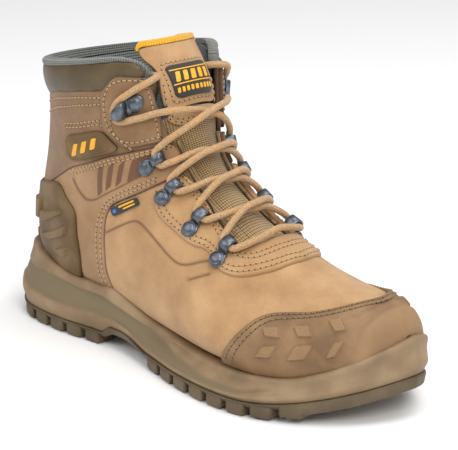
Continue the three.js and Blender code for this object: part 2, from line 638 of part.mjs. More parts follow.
// top edge of the midsole: x, height on the outer side
const wallTop = new THREE.SplineCurve([[-4, 47], [30, 43], [60, 38], [90, 38], [104, 40], [124, 34],
  [146, 27], [178, 24], [206, 23], [240, 23], [264, 26], [284, 35], [300, 45], [312, 52]]
  .map(([x, z]) => new THREE.Vector2(x, z)));
const wallPoints = wallTop.getPoints(60);
function wallHeight(x) {
  const place01 = wallPoints.findIndex((p) => p.x >= x / grade.x);
  const next = wallPoints[Math.max(place01, 1)];
  const last = wallPoints[Math.max(place01, 1) - 1];
  const share = THREE.MathUtils.clamp((x / grade.x - last.x) / (next.x - last.x), 0, 1);
  return drawn.floor + (last.y + (next.y - last.y) * share - drawn.floor) * grade.z;
}
const midsoleLow = (x) => lift(webTop)(x) + layerGap;
const wallAt = (share) => (x) => midsoleLow(x) + (wallHeight(x) - midsoleLow(x)) * share;
const midsoleBody = soleLoft([{ grow: -1.4, height: midsoleLow }, { grow: 0.8, height: wallAt(0.25) },
  { grow: -1.5, height: wallAt(0.7) }, { grow: -6, height: wallAt(1) }]);
const upperRoom = wholeUpper(overlayHigh + midsoleClear);
place('midsole', toGeometry(midsoleBody.subtract(upperRoom)), midsoleFoam);

// ---- footbed: fills the bottom of the lining, flat on top ----
const footbedClear = 0.4;
const cavity = wholeUpper(liningLow(4, 180) - footbedClear);
const treadLine = [[0, 36], [40, 35], [110, 33], [190, 31], [240, 31], [290, 34]];
const bedRings = treadLine.map(([x, z]) => {
  const top = drawn.floor + (z - 7 - drawn.floor) * grade.z + footbedThick;
  return [[-70, 0], [70, 0], [70, top], [-70, top]].map(([y, h]) => (
    new THREE.Vector3((x + 4) * grade.x, y * grade.y, h)));
});
const bedBlock = toSolid(loft(bedRings.map((ring) => ring.reverse())));
place('footbed', toGeometry(cavity.intersect(bedBlock)), foam);

// ---- origin: on the ground, under the middle of the boot ----
const bounds = new THREE.Box3().setFromObject(boot);
const middle = bounds.getCenter(new THREE.Vector3());
boot.position.set(-middle.x, -middle.y, -bounds.min.z);

export default boot;
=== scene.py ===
"""Steel toe work boot, right foot: the visible pieces, built in millimetres on the same last as the
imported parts. A place on the last is a station, from 0 at the toe tip to 15 at the collar, and an
angle round the foot in degrees: 0 on the ridge of the instep, 180 under the foot and down the back,
negative on the outer side."""

import bpy
import numpy as np
from mathutils import Matrix, Vector
from mathutils.geometry import delaunay_2d_cdt
from mathutils.bvhtree import BVHTree


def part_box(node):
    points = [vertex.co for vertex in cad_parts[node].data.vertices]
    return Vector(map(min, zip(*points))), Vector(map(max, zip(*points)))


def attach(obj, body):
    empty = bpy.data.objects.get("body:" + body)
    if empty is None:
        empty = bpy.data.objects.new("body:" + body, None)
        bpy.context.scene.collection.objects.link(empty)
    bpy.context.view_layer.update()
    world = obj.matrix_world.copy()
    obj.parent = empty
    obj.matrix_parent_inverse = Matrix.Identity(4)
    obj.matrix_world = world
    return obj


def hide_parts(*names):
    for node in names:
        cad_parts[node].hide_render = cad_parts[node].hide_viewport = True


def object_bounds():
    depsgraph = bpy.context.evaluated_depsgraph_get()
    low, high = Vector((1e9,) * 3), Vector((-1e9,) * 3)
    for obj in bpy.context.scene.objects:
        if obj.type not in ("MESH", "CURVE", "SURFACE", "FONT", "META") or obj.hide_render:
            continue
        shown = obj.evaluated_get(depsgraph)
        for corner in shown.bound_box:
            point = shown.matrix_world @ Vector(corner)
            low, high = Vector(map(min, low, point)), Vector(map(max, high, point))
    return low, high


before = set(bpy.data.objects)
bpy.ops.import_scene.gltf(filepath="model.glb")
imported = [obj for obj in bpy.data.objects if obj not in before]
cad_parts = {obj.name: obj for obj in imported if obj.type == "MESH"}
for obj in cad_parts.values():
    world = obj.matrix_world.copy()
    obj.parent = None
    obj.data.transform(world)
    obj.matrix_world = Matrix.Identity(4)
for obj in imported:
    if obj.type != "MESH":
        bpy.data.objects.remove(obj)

packed_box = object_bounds()

# ---- Camera and studio ----
# A long lens looks down on the outer side and the toe. A pale floor and wide soft lamps stand in for
# a light table, so the shade under the sole is faint.
OUTSOLE_CORNER = np.array([-1.6, -61.39, 0])  # the outsole's lowest corner, in the last's millimetres
shift = np.array(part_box("outsole")[0]) * 1000 - OUTSOLE_CORNER


def to_frame(points):
    """Millimetres on the last to metres in the part's frame."""
    return (np.asarray(points, float) + shift) / 1000


TURN, TILT, ROLL = np.radians([45.827, 17.543, 0.376])
INSTEP = np.array([140, 0, 75])  # the point that the camera turns about
DISTANCE = 1190.3
LENS_MM, SENSOR_MM = 151.93886, 36
AIM_RIGHT, AIM_UP = 0.01645111, 0.00398345  # slopes that turn the lens right and up of the instep
away = np.array([np.sin(TURN) * np.cos(TILT), -np.cos(TURN) * np.cos(TILT), np.sin(TILT)])
level = np.array([np.cos(TURN), np.sin(TURN), 0])
upward = np.cross(away, level)
right = level * np.cos(ROLL) + upward * np.sin(ROLL)
upright = -level * np.sin(ROLL) + upward * np.cos(ROLL)
eye = to_frame(INSTEP + away * DISTANCE)
forward = -away + right * AIM_RIGHT + upright * AIM_UP
forward /= np.linalg.norm(forward)
right = np.cross(forward, upright)
right /= np.linalg.norm(right)
upright = np.cross(right, forward)
camera_data = bpy.data.cameras.new("camera")
camera_data.sensor_width = SENSOR_MM
camera_data.lens = LENS_MM
camera = bpy.data.objects.new("camera", camera_data)
axes = np.array([right, upright, -forward]).T
camera.matrix_world = Matrix([[*row, at] for row, at in zip(axes, eye)] + [[0, 0, 0, 1]])
bpy.context.scene.collection.objects.link(camera)
bpy.context.scene.camera = camera
bpy.context.scene.view_settings.view_transform = "Standard"


def colour(code):
    """An sRGB hex code as linear RGBA."""
    parts = [int(code[i:i + 2], 16) / 255 for i in (1, 3, 5)]
    return [c / 12.92 if c < 0.04045 else ((c + 0.055) / 1.055) ** 2.4 for c in parts] + [1]


def add(material, kind, into=None, settings=None, **links):
    """Adds a shader node. links are sockets or values by input name or number, settings are its options.
    into is the node and input that its first output feeds."""
    made = material.node_tree.nodes.new("ShaderNode" + kind)
    for key, value in (settings or {}).items():
        setattr(made, key, value)
    for key, value in links.items():
        socket = made.inputs[int(key[1:]) if key[0] == "i" and key[1:].isdigit()
                             else key.replace("_", " ")]
        if isinstance(value, bpy.types.NodeSocket):
            material.node_tree.links.new(value, socket)
        else:
            socket.default_value = value
    if into:
        material.node_tree.links.new(made.outputs[0], into[0].inputs[into[1]])
    return made


def ramp(material, factor, *stops, into=None):
    """A colour ramp from places and sRGB codes."""
    made = add(material, "ValToRGB", into, i0=factor)
    points = made.color_ramp.elements
    while len(points) < len(stops):
        points.new(1)
    for point, (place, code) in zip(points, sorted(stops)):
        point.position = place
        point.color = colour(code)
    return made


def finish(name, roughness, **sockets):
    """A material with its principled shader, the object's own coordinates and nothing else."""
    material = bpy.data.materials.new(name)
    material.use_nodes = True
    shader = material.node_tree.nodes["Principled BSDF"]
    shader.inputs["Roughness"].default_value = roughness
    for key, value in sockets.items():
        shader.inputs[key.replace("_", " ")].default_value = value
    return material, shader, add(material, "TexCoord").outputs["Object"]


floor_finish, floor_shader, _ = finish("light_table_sheet", 0.9)
floor_shader.inputs["Base Color"].default_value = colour("#ffffff")
bpy.ops.mesh.primitive_grid_add(x_subdivisions=8, y_subdivisions=8, size=8)
floor = bpy.context.object
floor.name = "floor"
floor.location.z = packed_box[0][2] - 0.0005
floor.data.materials.append(floor_finish)
sky = bpy.data.worlds.new("white_room")
sky.use_nodes = True
sky.node_tree.nodes["Background"].inputs[0].default_value = colour("#ffffff")
sky.node_tree.nodes["Background"].inputs[1].default_value = 0.5
bpy.context.scene.world = sky
# place in metres, width, watts
LAMP_AIM = Vector((0, 0, 0.08))
for at, width, power in [((-0.3, -1.4, 1.3), 1.0, 9), ((1.3, -0.7, 1.3), 0.7, 13),
                         ((0.5, 0.8, 1.6), 1.1, 9), ((0.5, -0.2, 1.9), 0.9, 11)]:
    lamp = bpy.data.lights.new("softbox", "AREA")
    lamp.size = width
    lamp.energy = power
    held = bpy.data.objects.new("softbox", lamp)
    held.location = at
    held.rotation_euler = (Vector(at) - LAMP_AIM).to_track_quat("Z", "Y").to_euler()
    bpy.context.scene.collection.objects.link(held)

# ---- Lace ----
# One round braided lace, sand polyester with orange tracer threads. It crosses between the loops,
# turns round the top hooks and hangs free inside the shaft, each end in a crimped plastic aglet.
# rows of the last: top point x z, bottom or back point x z, half widths outer and inner,
# middle line top and bottom, roundness, lean of the widest place
LAST = np.array([
    [301, 48, 299, 26, 0.25, 0.25, 8, 8, 0.8, 0], [299, 56, 296, 22, 17, 15, 8, 8, 0.8, 0.05],
    [292, 63, 288, 19, 31, 23, 7, 7, 0.8, 0.1], [275, 68.5, 270, 16, 43, 33, 6, 5, 0.82, 0.15],
    [252, 71, 248, 14, 50, 41, 5, 2, 0.86, 0.2], [228, 77, 224, 14, 54, 44, 4, 0, 0.92, 0.25],
    [204, 89, 190, 15, 52, 42, 2, -3, 0.95, 0.25], [183, 101, 150, 17, 47, 38, 1, -4, 0.95, 0.2],
    [166, 113, 110, 18, 44, 37, 0, -2, 0.92, 0.12], [155, 125, 66, 18, 43, 38, 0, 0, 0.9, 0.05],
    [148, 138, 30, 21, 42, 39, 0, 0, 0.9, 0], [145, 151, 10, 38, 42, 40, 0, 0, 0.9, -0.08],
    [142, 163, 8, 72, 43, 42, 0, 0, 0.92, -0.14], [139, 175, 16, 108, 45, 44, 0, 0, 0.94, -0.16],
    [136, 184, 20, 142, 47, 46, 0, 0, 0.94, -0.16], [134, 191, 15, 169, 48, 47, 0, 0, 0.94, -0.14],
    [132, 199, 14, 178, 48, 47, 0, 0, 0.94, -0.14]])


def skin(s, angle):
    """Points of the last, in millimetres."""
    s, angle = np.broadcast_arrays(np.asarray(s, float), np.asarray(angle, float))
    i = np.clip(np.floor(s).astype(int), 0, len(LAST) - 2)
    t = (s - i)[..., None]
    a, b, c, d = (LAST[np.clip(i + k, 0, len(LAST) - 1)] for k in (-1, 0, 1, 2))
    row = b + 0.5 * t * (c - a + t * (2 * a - 5 * b + 4 * c - d + t * (3 * (b - c) + d - a)))
    tx, tz, bx, bz, outer, inner, y_top, y_low, roundness, lean = np.moveaxis(row, -1, 0)
    turn = np.radians(angle)
    side = np.sin(turn)
    down = (1 - np.cos(turn)) / 2
    half = np.where(side < 0, outer, inner) * np.abs(side) ** roundness * (1 - lean * np.cos(turn))
    return np.stack([tx + (bx - tx) * down, y_top + (y_low - y_top) * down + np.sign(side) * half,
                     tz + (bz - tz) * down], -1)


def skin_normal(s, angle):
    low = np.maximum(np.asarray(s, float) - 0.02, 0)
    along = skin(low + 0.04, angle) - skin(low, angle)
    normal = np.cross(skin(s, np.asarray(angle) + 1) - skin(s, np.asarray(angle) - 1), along)
    return normal / np.linalg.norm(normal, axis=-1, keepdims=True)


def on_last(s, angle, height):
    return skin(s, angle) + skin_normal(s, angle) * np.asarray(height, float)[..., None]


def smooth(value, low, high):
    t = np.clip((np.asarray(value, float) - low) / (high - low), 0, 1)
    return t * t * (3 - 2 * t)


def piece(name, points, faces, material, body="upper_and_sole", replaces=(), slot=None, marks=None,
          flat=False):
    """A mesh object from millimetre points, riding on a body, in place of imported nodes.
    marks are numbers for each point that the material reads by name."""
    mesh = bpy.data.meshes.new(name)
    mesh.from_pydata(to_frame(points).tolist(), [], [tuple(map(int, f)) for f in faces])
    mesh.validate()
    mesh.polygons.foreach_set("use_smooth", [not flat] * len(mesh.polygons))
    for key, values in (marks or {}).items():
        kind = "FLOAT" if np.ndim(values) == 1 else "FLOAT_VECTOR"
        made = mesh.attributes.new(key, kind, "POINT")
        made.data.foreach_set("value" if kind == "FLOAT" else "vector",
                              np.asarray(values, np.float32).ravel())
    mesh.materials.append(material)
    made = bpy.data.objects.new(name, mesh)
    bpy.context.scene.collection.objects.link(made)
    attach(made, body)
    if replaces:
        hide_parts(*replaces)
    return made


def tube_faces(rings, sides, closed_ends=True):
    k = np.arange(sides)
    faces = [(r * sides + a, r * sides + b, (r + 1) * sides + b, (r + 1) * sides + a)
             for r in range(rings - 1) for a, b in zip(k, np.roll(k, -1))]
    if closed_ends:
        faces += [tuple(k[::-1]), tuple((rings - 1) * sides + k)]
    return faces


LACE = 4.2  # diameter
PASS, TURNED = LACE / 2 * 2.05, LACE / 2 * 3.6  # half the straight run under a strap, and past its turn
LEATHER, OVERLAY_TOP, GAP, BAND_RISE = 2.2, 2.5, 0.6, 1.9
STRAP = 1.4  # thickness of the metal
ARCH_FROM, ARCH_SPAN, ARCH_INNER = 4.8, 7, LACE + 2
# places of the rivets, outer side: station, angle, height of the panel that each stands on
HARDWARE = [("lace_loop_1", 6.3, -53, OVERLAY_TOP), ("lace_loop_2", 7.4, -50.5, OVERLAY_TOP),
            ("lace_loop_3", 8.72, -48, OVERLAY_TOP), ("lace_loop_4", 10.05, -46.5, BAND_RISE),
            ("lace_hook", 12.6, -43.5, OVERLAY_TOP)]
SIDES = [("lateral", -1), ("medial", 1)]


def scale_at(s, angle):
    """Millimetres to one degree and to one station."""
    return (np.linalg.norm(skin(s, angle + 1) - skin(s, angle - 1)) / 2,
            np.linalg.norm(skin(s + 0.05, angle) - skin(s - 0.05, angle)) * 10)


CLEAR = 0.42  # stations from a loop's rivet to the start of the crossing
HOOK_TURN = [(11.86, 30, 5.2), (12.04, 43, 5.4), (12.28, 54, 5.5), (12.6, 56.3, 5.5),
             (12.92, 54, 5.5), (13.18, 43, 5.3), (13.36, 31.5, 5), (13.4, 27.8, 0), (13.4, 27.8, -9),
             (13.4, 28, -16), (13.3, 25, -22.5), (13.1, 18, -26)]
LACE_TAIL = [(113, 12, 155), (114.5, 13, 132), (115.5, 14, 109), (117, 13, 86)]


def lace_strand(side, is_over):
    """One half of the lace, from its first loop to its free end."""
    points = []
    for i in range(4):
        s, a, seat = HARDWARE[i][1], -HARDWARE[i][2], HARDWARE[i][3]
        per_degree, per_station = scale_at(s, side * a)
        middle = a - (ARCH_FROM + STRAP + ARCH_SPAN / 2) / per_degree
        below, above = (TURNED * (0.9 if i == short else 1) for short in (3, 2))
        for along, turn in [(-below, 6), (-PASS, 0), (PASS, 0), (above, 6)]:
            points.append(on_last(s + along / per_station, side * (middle - turn),
                                  seat + GAP + ARCH_INNER / 2))
        start = s + CLEAR
        reach = HOOK_TURN[0][0] if i == 3 else HARDWARE[i + 1][1] - CLEAR
        heights = (8, 7.2, 8) if is_over else (4.2, 1.6, 4.2)
        for share, a, height in zip((0.28, 0.5, 0.72), (13, 0, -13), heights):
            points.append(on_last(start + (reach - start) * share, side * a, height))
        side, is_over = -side, not is_over
    points += [on_last(s, side * a, h) for s, a, h in HOOK_TURN]
    return points + [np.array([x, side * y, z]) for x, y, z in LACE_TAIL]


def centripetal(points, steps):
    """A smooth line through points, with evenly spaced places."""
    p = np.array(points)
    p = np.vstack([2 * p[0] - p[1], p, 2 * p[-1] - p[-2]])
    made = []
    for a, b, c, d in zip(p, p[1:], p[2:], p[3:]):
        t = np.cumsum([0] + [np.linalg.norm(v - u) ** 0.5 for u, v in ((a, b), (b, c), (c, d))])
        x = np.linspace(t[1], t[2], 24, endpoint=False)[:, None]
        ab, bc, cd = (((t[k + 1] - x) * u + (x - t[k]) * v) / (t[k + 1] - t[k])
                      for k, (u, v) in enumerate(((a, b), (b, c), (c, d))))
        abc = ((t[2] - x) * ab + (x - t[0]) * bc) / (t[2] - t[0])
        bcd = ((t[3] - x) * bc + (x - t[1]) * cd) / (t[3] - t[1])
        made.append(((t[2] - x) * abc + (x - t[1]) * bcd) / (t[2] - t[1]))
    made = np.vstack(made + [p[-2][None]])
    run = np.concatenate([[0], np.cumsum(np.linalg.norm(np.diff(made, axis=0), axis=1))])
    at = np.linspace(0, run[-1], int(run[-1] / steps) + 1)
    return np.stack([np.interp(at, run, made[:, k]) for k in range(3)], 1), run[-1]


def frames_along(line):
    """Tangents and two steady cross directions along a line."""
    tangent = np.gradient(line, axis=0)
    tangent /= np.linalg.norm(tangent, axis=1, keepdims=True)
    first = np.cross(tangent[0], [0, 0, 1.0])
    if np.linalg.norm(first) < 0.1:
        first = np.cross(tangent[0], [0, 1.0, 0])
    across = [first / np.linalg.norm(first)]
    for t in tangent[1:]:
        v = across[-1] - t * (across[-1] @ t)
        across.append(v / np.linalg.norm(v))
    across = np.array(across)
    return tangent, across, np.cross(tangent, across)


bottom_bar = [on_last(s, a, h) for s, a, h in [(5.93, 16, 5.4), (5.96, 0, 5.2), (5.93, -16, 5.4)]]
lace_points = lace_strand(1, False)[::-1] + bottom_bar + lace_strand(-1, True)
LACE_STEP = 0.6
lace_line, lace_length = centripetal(lace_points, LACE_STEP)
BRAID_SIDES, BRAID_CARRIERS = 20, 8
BRAID_PITCH = 17.0  # one turn of a carrier; a real 16-carrier braid is a little finer
tangent, across, over = frames_along(lace_line)
turn = np.linspace(0, 2 * np.pi, BRAID_SIDES, endpoint=False)
run = np.arange(len(lace_line)) * LACE_STEP
phase = run[:, None] / BRAID_PITCH * 2 * np.pi
one_way = np.cos((turn[None] + phase) * BRAID_CARRIERS / 2)
other_way = np.cos((turn[None] - phase) * BRAID_CARRIERS / 2)
VALLEY, CROWN = 0.22, 0.24  # depth between carriers, and rise of a carrier from there
radius = LACE / 2 - VALLEY + CROWN * np.maximum(np.abs(one_way), np.abs(other_way))
ring = across[:, None] * np.cos(turn)[None, :, None] + over[:, None] * np.sin(turn)[None, :, None]
lace_mesh = lace_line[:, None] + ring * radius[..., None]
carrier = np.mod(np.floor((turn[None] + phase) / (2 * np.pi) * BRAID_CARRIERS), BRAID_CARRIERS)
on_top = np.abs(one_way) > np.abs(other_way)
FLECK_PITCH, FLECK_SHARE = 31, 0.55
shows = np.mod(run / FLECK_PITCH, 1)[:, None] < FLECK_SHARE
tracer = ((carrier == 0) & on_top & shows).astype(float)

lace_braid, shader, place = finish("polyester_round_braid", 0.85, Sheen_Weight=0.25, Sheen_Roughness=0.5)
fibre = add(lace_braid, "TexNoise", Vector=place, Scale=1500.0, Detail=3.0)
sand = ramp(lace_braid, fibre.outputs["Fac"], (0.3, "#8f6e48"), (0.55, "#bb966b"), (0.75, "#d3b28a"))
fleck = add(lace_braid, "Attribute", settings={"attribute_name": "tracer"})
mixed = add(lace_braid, "Mix", settings={"data_type": "RGBA"}, i0=fleck.outputs["Fac"], i6=sand.outputs[0],
            i7=colour("#dc9434"))
lace_braid.node_tree.links.new(mixed.outputs[2], shader.inputs["Base Color"])
add(lace_braid, "Bump", (shader, "Normal"), Strength=0.4, Distance=0.0004, Height=fibre.outputs["Fac"])
lace = piece("lace_braid", lace_mesh.reshape(-1, 3), tube_faces(len(lace_line), BRAID_SIDES), lace_braid,
             replaces=["lace"], slot="lace_braid",
             marks={"tracer": tracer.ravel()})

# The aglets are clear brown sleeves, crimped on with two rings.
aglet_sleeve, shader, place = finish("moulded_acetate_sleeve", 0.3, Coat_Weight=0.3)
cloud = add(aglet_sleeve, "TexNoise", Vector=place, Scale=400.0, Detail=2.0)
ramp(aglet_sleeve, cloud.outputs["Fac"], (0.3, "#5a4a30"), (0.7, "#6f5d3e"), into=(shader, "Base Color"))
AGLET_LENGTH = 22
for (side, sign), end in zip(SIDES, (lace_line[-1], lace_line[0])):
    down = np.linspace(0, AGLET_LENGTH, 45)
    width = np.interp(down, [0, 0.4, 1.5, 19, 21.4, 22], [1.9, 2.25, 2.3, 1.95, 1.8, 1.3])
    for crimp in (5, 8):
        width -= 0.18 * np.exp(-((down - crimp) / 0.7) ** 2)
    around = np.linspace(0, 2 * np.pi, 24, endpoint=False)
    rings = np.stack([np.outer(width, np.cos(around)), np.outer(width, np.sin(around)),
                      np.repeat(-down[:, None], 24, 1)], -1)
    piece(f"aglet_sleeve_{side}", (end - [0, 0, 0.3] + rings).reshape(-1, 3),
                        tube_faces(45, 24), aglet_sleeve, replaces=[f"aglet_{side}"], slot="aglet_plastic")

# ---- Vamp ----
# One piece of 2.2 mm waxed nubuck from the toe to the ankle seam, split along the instep for the
# tongue. Its moulded grooves are pressed hot, which leaves them darker.
STATION_MM, DEGREE_MM = 20, 0.78  # one station and one degree on the cutting table


def table(path):
    return np.array(path, float) * [STATION_MM, DEGREE_MM]


def rounded(points, radius, closed=True):
    """Corners of a line eased by two rounds of cutting."""
    p = np.array(points, float)
    for cut in (radius, radius * 0.45):
        made = [] if closed else [p[0]]
        span = range(len(p)) if closed else range(1, len(p) - 1)
        for i in span:
            for to in (p[i - 1], p[(i + 1) % len(p)]):
                gap = to - p[i]
                length = np.linalg.norm(gap)
                made.append(p[i] + gap * min(cut / max(length, 1e-6), 0.28))
        p = np.array(made if closed else made + [p[-1]])
    return p


def spaced(points, pitch, closed=True):
    """Even places along a line."""
    p = np.vstack([points, points[:1]]) if closed else np.asarray(points, float)
    run = np.concatenate([[0], np.cumsum(np.linalg.norm(np.diff(p, axis=0), axis=1))])
    count = max(int(round(run[-1] / pitch)), 3) + (0 if closed else 1)
    at = np.linspace(0, run[-1], count, endpoint=not closed)
    return np.stack([np.interp(at, run, p[:, k]) for k in range(p.shape[1])], 1)


def sideways(path, distance, closed=False):
    """The line moved to its left on the table."""
    p = np.asarray(path, float)
    if closed:
        way = np.roll(p, -1, 0) - np.roll(p, 1, 0)
    else:
        way = np.gradient(p, axis=0)
    way /= np.maximum(np.linalg.norm(way, axis=1, keepdims=True), 1e-9)
    return p + np.stack([-way[:, 1], way[:, 0]], 1) * distance


def distance_to(points, path, closed):
    """Distance of table points to a line."""
    a = path if closed else path[:-1]
    b = np.roll(path, -1, 0) if closed else path[1:]
    ab = b - a
    length = np.maximum((ab ** 2).sum(1), 1e-12)
    nearest = np.full(len(points), 1e9)
    for start in range(0, len(points), 4000):
        p = points[start:start + 4000, None]
        t = np.clip(((p - a) * ab).sum(2) / length, 0, 1)[..., None]
        nearest[start:start + 4000] = np.sqrt((((p - a) - t * ab) ** 2).sum(2).min(1))
    return nearest


def inside(points, path):
    """Which table points lie within a closed line."""
    a, b = path, np.roll(path, -1, 0)
    found = np.zeros(len(points), bool)
    for start in range(0, len(points), 4000):
        p = points[start:start + 4000, None]
        above = (a[:, 1] > p[..., 1]) != (b[:, 1] > p[..., 1])
        rise = np.where(b[:, 1] == a[:, 1], 1e-9, b[:, 1] - a[:, 1])
        x = a[:, 0] + (p[..., 1] - a[:, 1]) * (b[:, 0] - a[:, 0]) / rise
        found[start:start + 4000] = (above & (p[..., 0] < x)).sum(1) % 2 == 1
    return found


def value_of(height, s, a):
    return height(s, a) if callable(height) else np.full(len(s), float(height))


def groove(path, width, depth, mark=1.0):
    """A line pressed into a panel."""
    return {"path": spaced(rounded(table(path), 3, False), 1.1, False), "width": width, "depth": depth,
            "mark": mark, "closed": False}


def block(path, rise, chamfer=1.2, ribs=0, corner=0.8):
    """A moulded stud that stands off a panel, with fine ribs on its face."""
    return {"path": spaced(rounded(table(path), corner), 0.9), "rise": rise, "chamfer": chamfer,
            "ribs": ribs, "closed": True}


def cut_panel(name, outline, low, high, material, roll=0.9, pitch=2.4, corner=4.0, features=(),
              **links):
    """A panel cut on the table and laid on the last: rolled edge, pressed lines and moulded studs.
    links are what piece() needs."""
    edge = spaced(rounded(table(outline), corner), pitch * 0.75)
    area = np.sum(edge[:, 0] * np.roll(edge[:, 1], -1) - np.roll(edge[:, 0], -1) * edge[:, 1])
    if area < 0:
        edge = edge[::-1]
    extra = [edge]
    for depth in (0.12, 0.35, 0.7, 1.1, 2.0):
        ring = sideways(edge, depth * roll, True)
        extra.append(ring[distance_to(ring, edge, True) > depth * roll * 0.85])
    keep_off = []
    for f in features:
        width = f.get("width", f.get("chamfer"))
        steps = (-1.6, -0.8, -0.4, 0, 0.4, 0.8, 1.6) if "width" in f else (-0.25, 0, 0.5, 1.0, 1.5)
        for step in steps:
            extra.append(sideways(f["path"], step * width, f["closed"]))
        if f.get("ribs"):
            lo, hi = f["path"].min(0), f["path"].max(0)
            g = np.stack(np.meshgrid(np.arange(lo[0], hi[0], 0.5), np.arange(lo[1], hi[1], 0.5)), -1)
            g = g.reshape(-1, 2)
            extra.append(g[inside(g, f["path"]) & (distance_to(g, f["path"], True) > width * 1.6)])
        keep_off.append((f, width * 1.8))
    lo, hi = edge.min(0), edge.max(0)
    grid = np.array([(x + (row % 2) * pitch / 2, y)
                     for row, y in enumerate(np.arange(lo[1], hi[1], pitch * 0.87))
                     for x in np.arange(lo[0], hi[0], pitch)])
    grid = grid[inside(grid, edge) & (distance_to(grid, edge, True) > roll * 2.3)]
    for f, reach in keep_off:
        grid = grid[distance_to(grid, f["path"], f["closed"]) > reach]
        if f.get("ribs"):
            grid = grid[~inside(grid, f["path"])]
    inner = np.vstack(extra[1:] + [grid])
    inner = inner[inside(inner, edge)]
    points = np.vstack([edge, inner])
    count = len(edge)
    made = delaunay_2d_cdt([Vector(p) for p in points], [(i, (i + 1) % count) for i in range(count)],
                           [], 1, 1e-4)
    flat = np.array([tuple(v) for v in made[0]])
    faces = [tuple(f) for f in made[2]]
    s, a = flat[:, 0] / STATION_MM, flat[:, 1] / DEGREE_MM
    off = distance_to(flat, edge, True)
    top = value_of(high, s, a)
    reach = np.clip(roll - off, 0, roll)
    top = top - (roll - np.sqrt(np.maximum(roll ** 2 - reach ** 2, 0)))
    mark = np.zeros(len(flat))
    for f in features:
        far = distance_to(flat, f["path"], f["closed"])
        if "width" in f:
            pressed = np.exp(-(far / f["width"]) ** 2 * 1.6)
            top -= f["depth"] * pressed
            mark = np.maximum(mark, f["mark"] * pressed)
        else:
            deep = np.where(inside(flat, f["path"]), far, 0)
            rise = f["rise"] * smooth(deep, 0, f["chamfer"])
            if f["ribs"]:
                ribbed = 0.5 + 0.5 * np.cos(flat[:, 1] / f["ribs"] * 2 * np.pi)
                rise -= 0.3 * ribbed * smooth(deep, f["chamfer"] * 1.4, f["chamfer"] * 2)
            top += rise
            mark = np.maximum(mark, smooth(deep, 0, f["chamfer"]))
    under = np.minimum(value_of(low, s, a), top - 0.2)
    upper, lower = on_last(s, a, top), on_last(s, a, under)
    p, q, r = (upper[[f[k] for f in faces]] for k in range(3))
    outward = skin_normal(s[[f[0] for f in faces]], a[[f[0] for f in faces]])
    if (np.cross(q - p, r - p) * outward).sum() < 0:
        faces = [f[::-1] for f in faces]
    total = len(flat)
    sides = {}
    for f in faces:
        for i, j in zip(f, f[1:] + f[:1]):
            if sides.pop((j, i), None) is None:
                sides[(i, j)] = True
    walls = [(j, i, i + total, j + total) for i, j in sides]
    below = [tuple(v + total for v in f[::-1]) for f in faces]
    cut = np.column_stack([flat, np.zeros(total)])
    return piece(name, np.vstack([upper, lower]), faces + walls + below, material,
                 marks={"edge": np.concatenate([off, np.zeros(total)]),
                        "pressed": np.concatenate([mark, np.zeros(total)]),
                        "cut": np.vstack([cut, cut])}, **links)


def turned_over(path):
    return [(s, -a) for s, a in path]


BOTH_SIDES = [("lateral", list), ("medial", turned_over)]  # how a pattern of the outer side lies on each


def unfold(half, fold=0):
    """Both halves of a pattern folded on the ridge (0) or on the back seam (180)."""
    return list(half) + [(s, 2 * fold - a) for s, a in reversed(half) if a != fold]


def leather_hide(name, dark, middle, light, edge_dark, nap=0.9, grain=0.35, mottle=26.0):
    """Full-grain nubuck: buffed nap, cloudy tone, darker burnished cuts and pressed lines."""
    hide, shader, place = finish(name, nap, Sheen_Weight=0.18, Sheen_Roughness=0.6)
    shader.inputs["Specular IOR Level"].default_value = 0.25
    cloud = add(hide, "TexNoise", Vector=place, Scale=1000 / mottle, Detail=4.0, Roughness=0.55)
    tone = ramp(hide, cloud.outputs["Fac"], (0.3, dark), (0.5, middle), (0.7, light))
    nap_noise = add(hide, "TexNoise", Vector=place, Scale=1100.0, Detail=3.0, Roughness=0.7)
    fleck = add(hide, "MapRange", i0=nap_noise.outputs["Fac"], i1=0.3, i2=0.7, i3=0.9, i4=1.08)
    toned = add(hide, "Mix", settings={"data_type": "RGBA", "blend_type": "MULTIPLY"}, i0=1.0,
                i6=tone.outputs[0], i7=fleck.outputs[0])
    pressed = add(hide, "Attribute", settings={"attribute_name": "pressed"})
    burnt = add(hide, "Mix", settings={"data_type": "RGBA"}, i0=pressed.outputs["Fac"],
                i6=toned.outputs[2], i7=colour(edge_dark))
    edge = add(hide, "Attribute", settings={"attribute_name": "edge"})
    cut = add(hide, "MapRange", i0=edge.outputs["Fac"], i1=0.1, i2=0.9, i3=0.75, i4=0.0)
    ended = add(hide, "Mix", settings={"data_type": "RGBA"}, i0=cut.outputs[0], i6=burnt.outputs[2],
                i7=colour(edge_dark))
    hide.node_tree.links.new(ended.outputs[2], shader.inputs["Base Color"])
    crease = add(hide, "TexNoise", Vector=place, Scale=330.0, Detail=5.0, Roughness=0.65)
    rough = add(hide, "Math", settings={"operation": "MULTIPLY_ADD"}, i0=nap_noise.outputs["Fac"], i1=0.6,
                i2=crease.outputs["Fac"])
    add(hide, "Bump", (shader, "Normal"), Strength=grain, Distance=0.0005, Height=rough.outputs[0])
    return hide


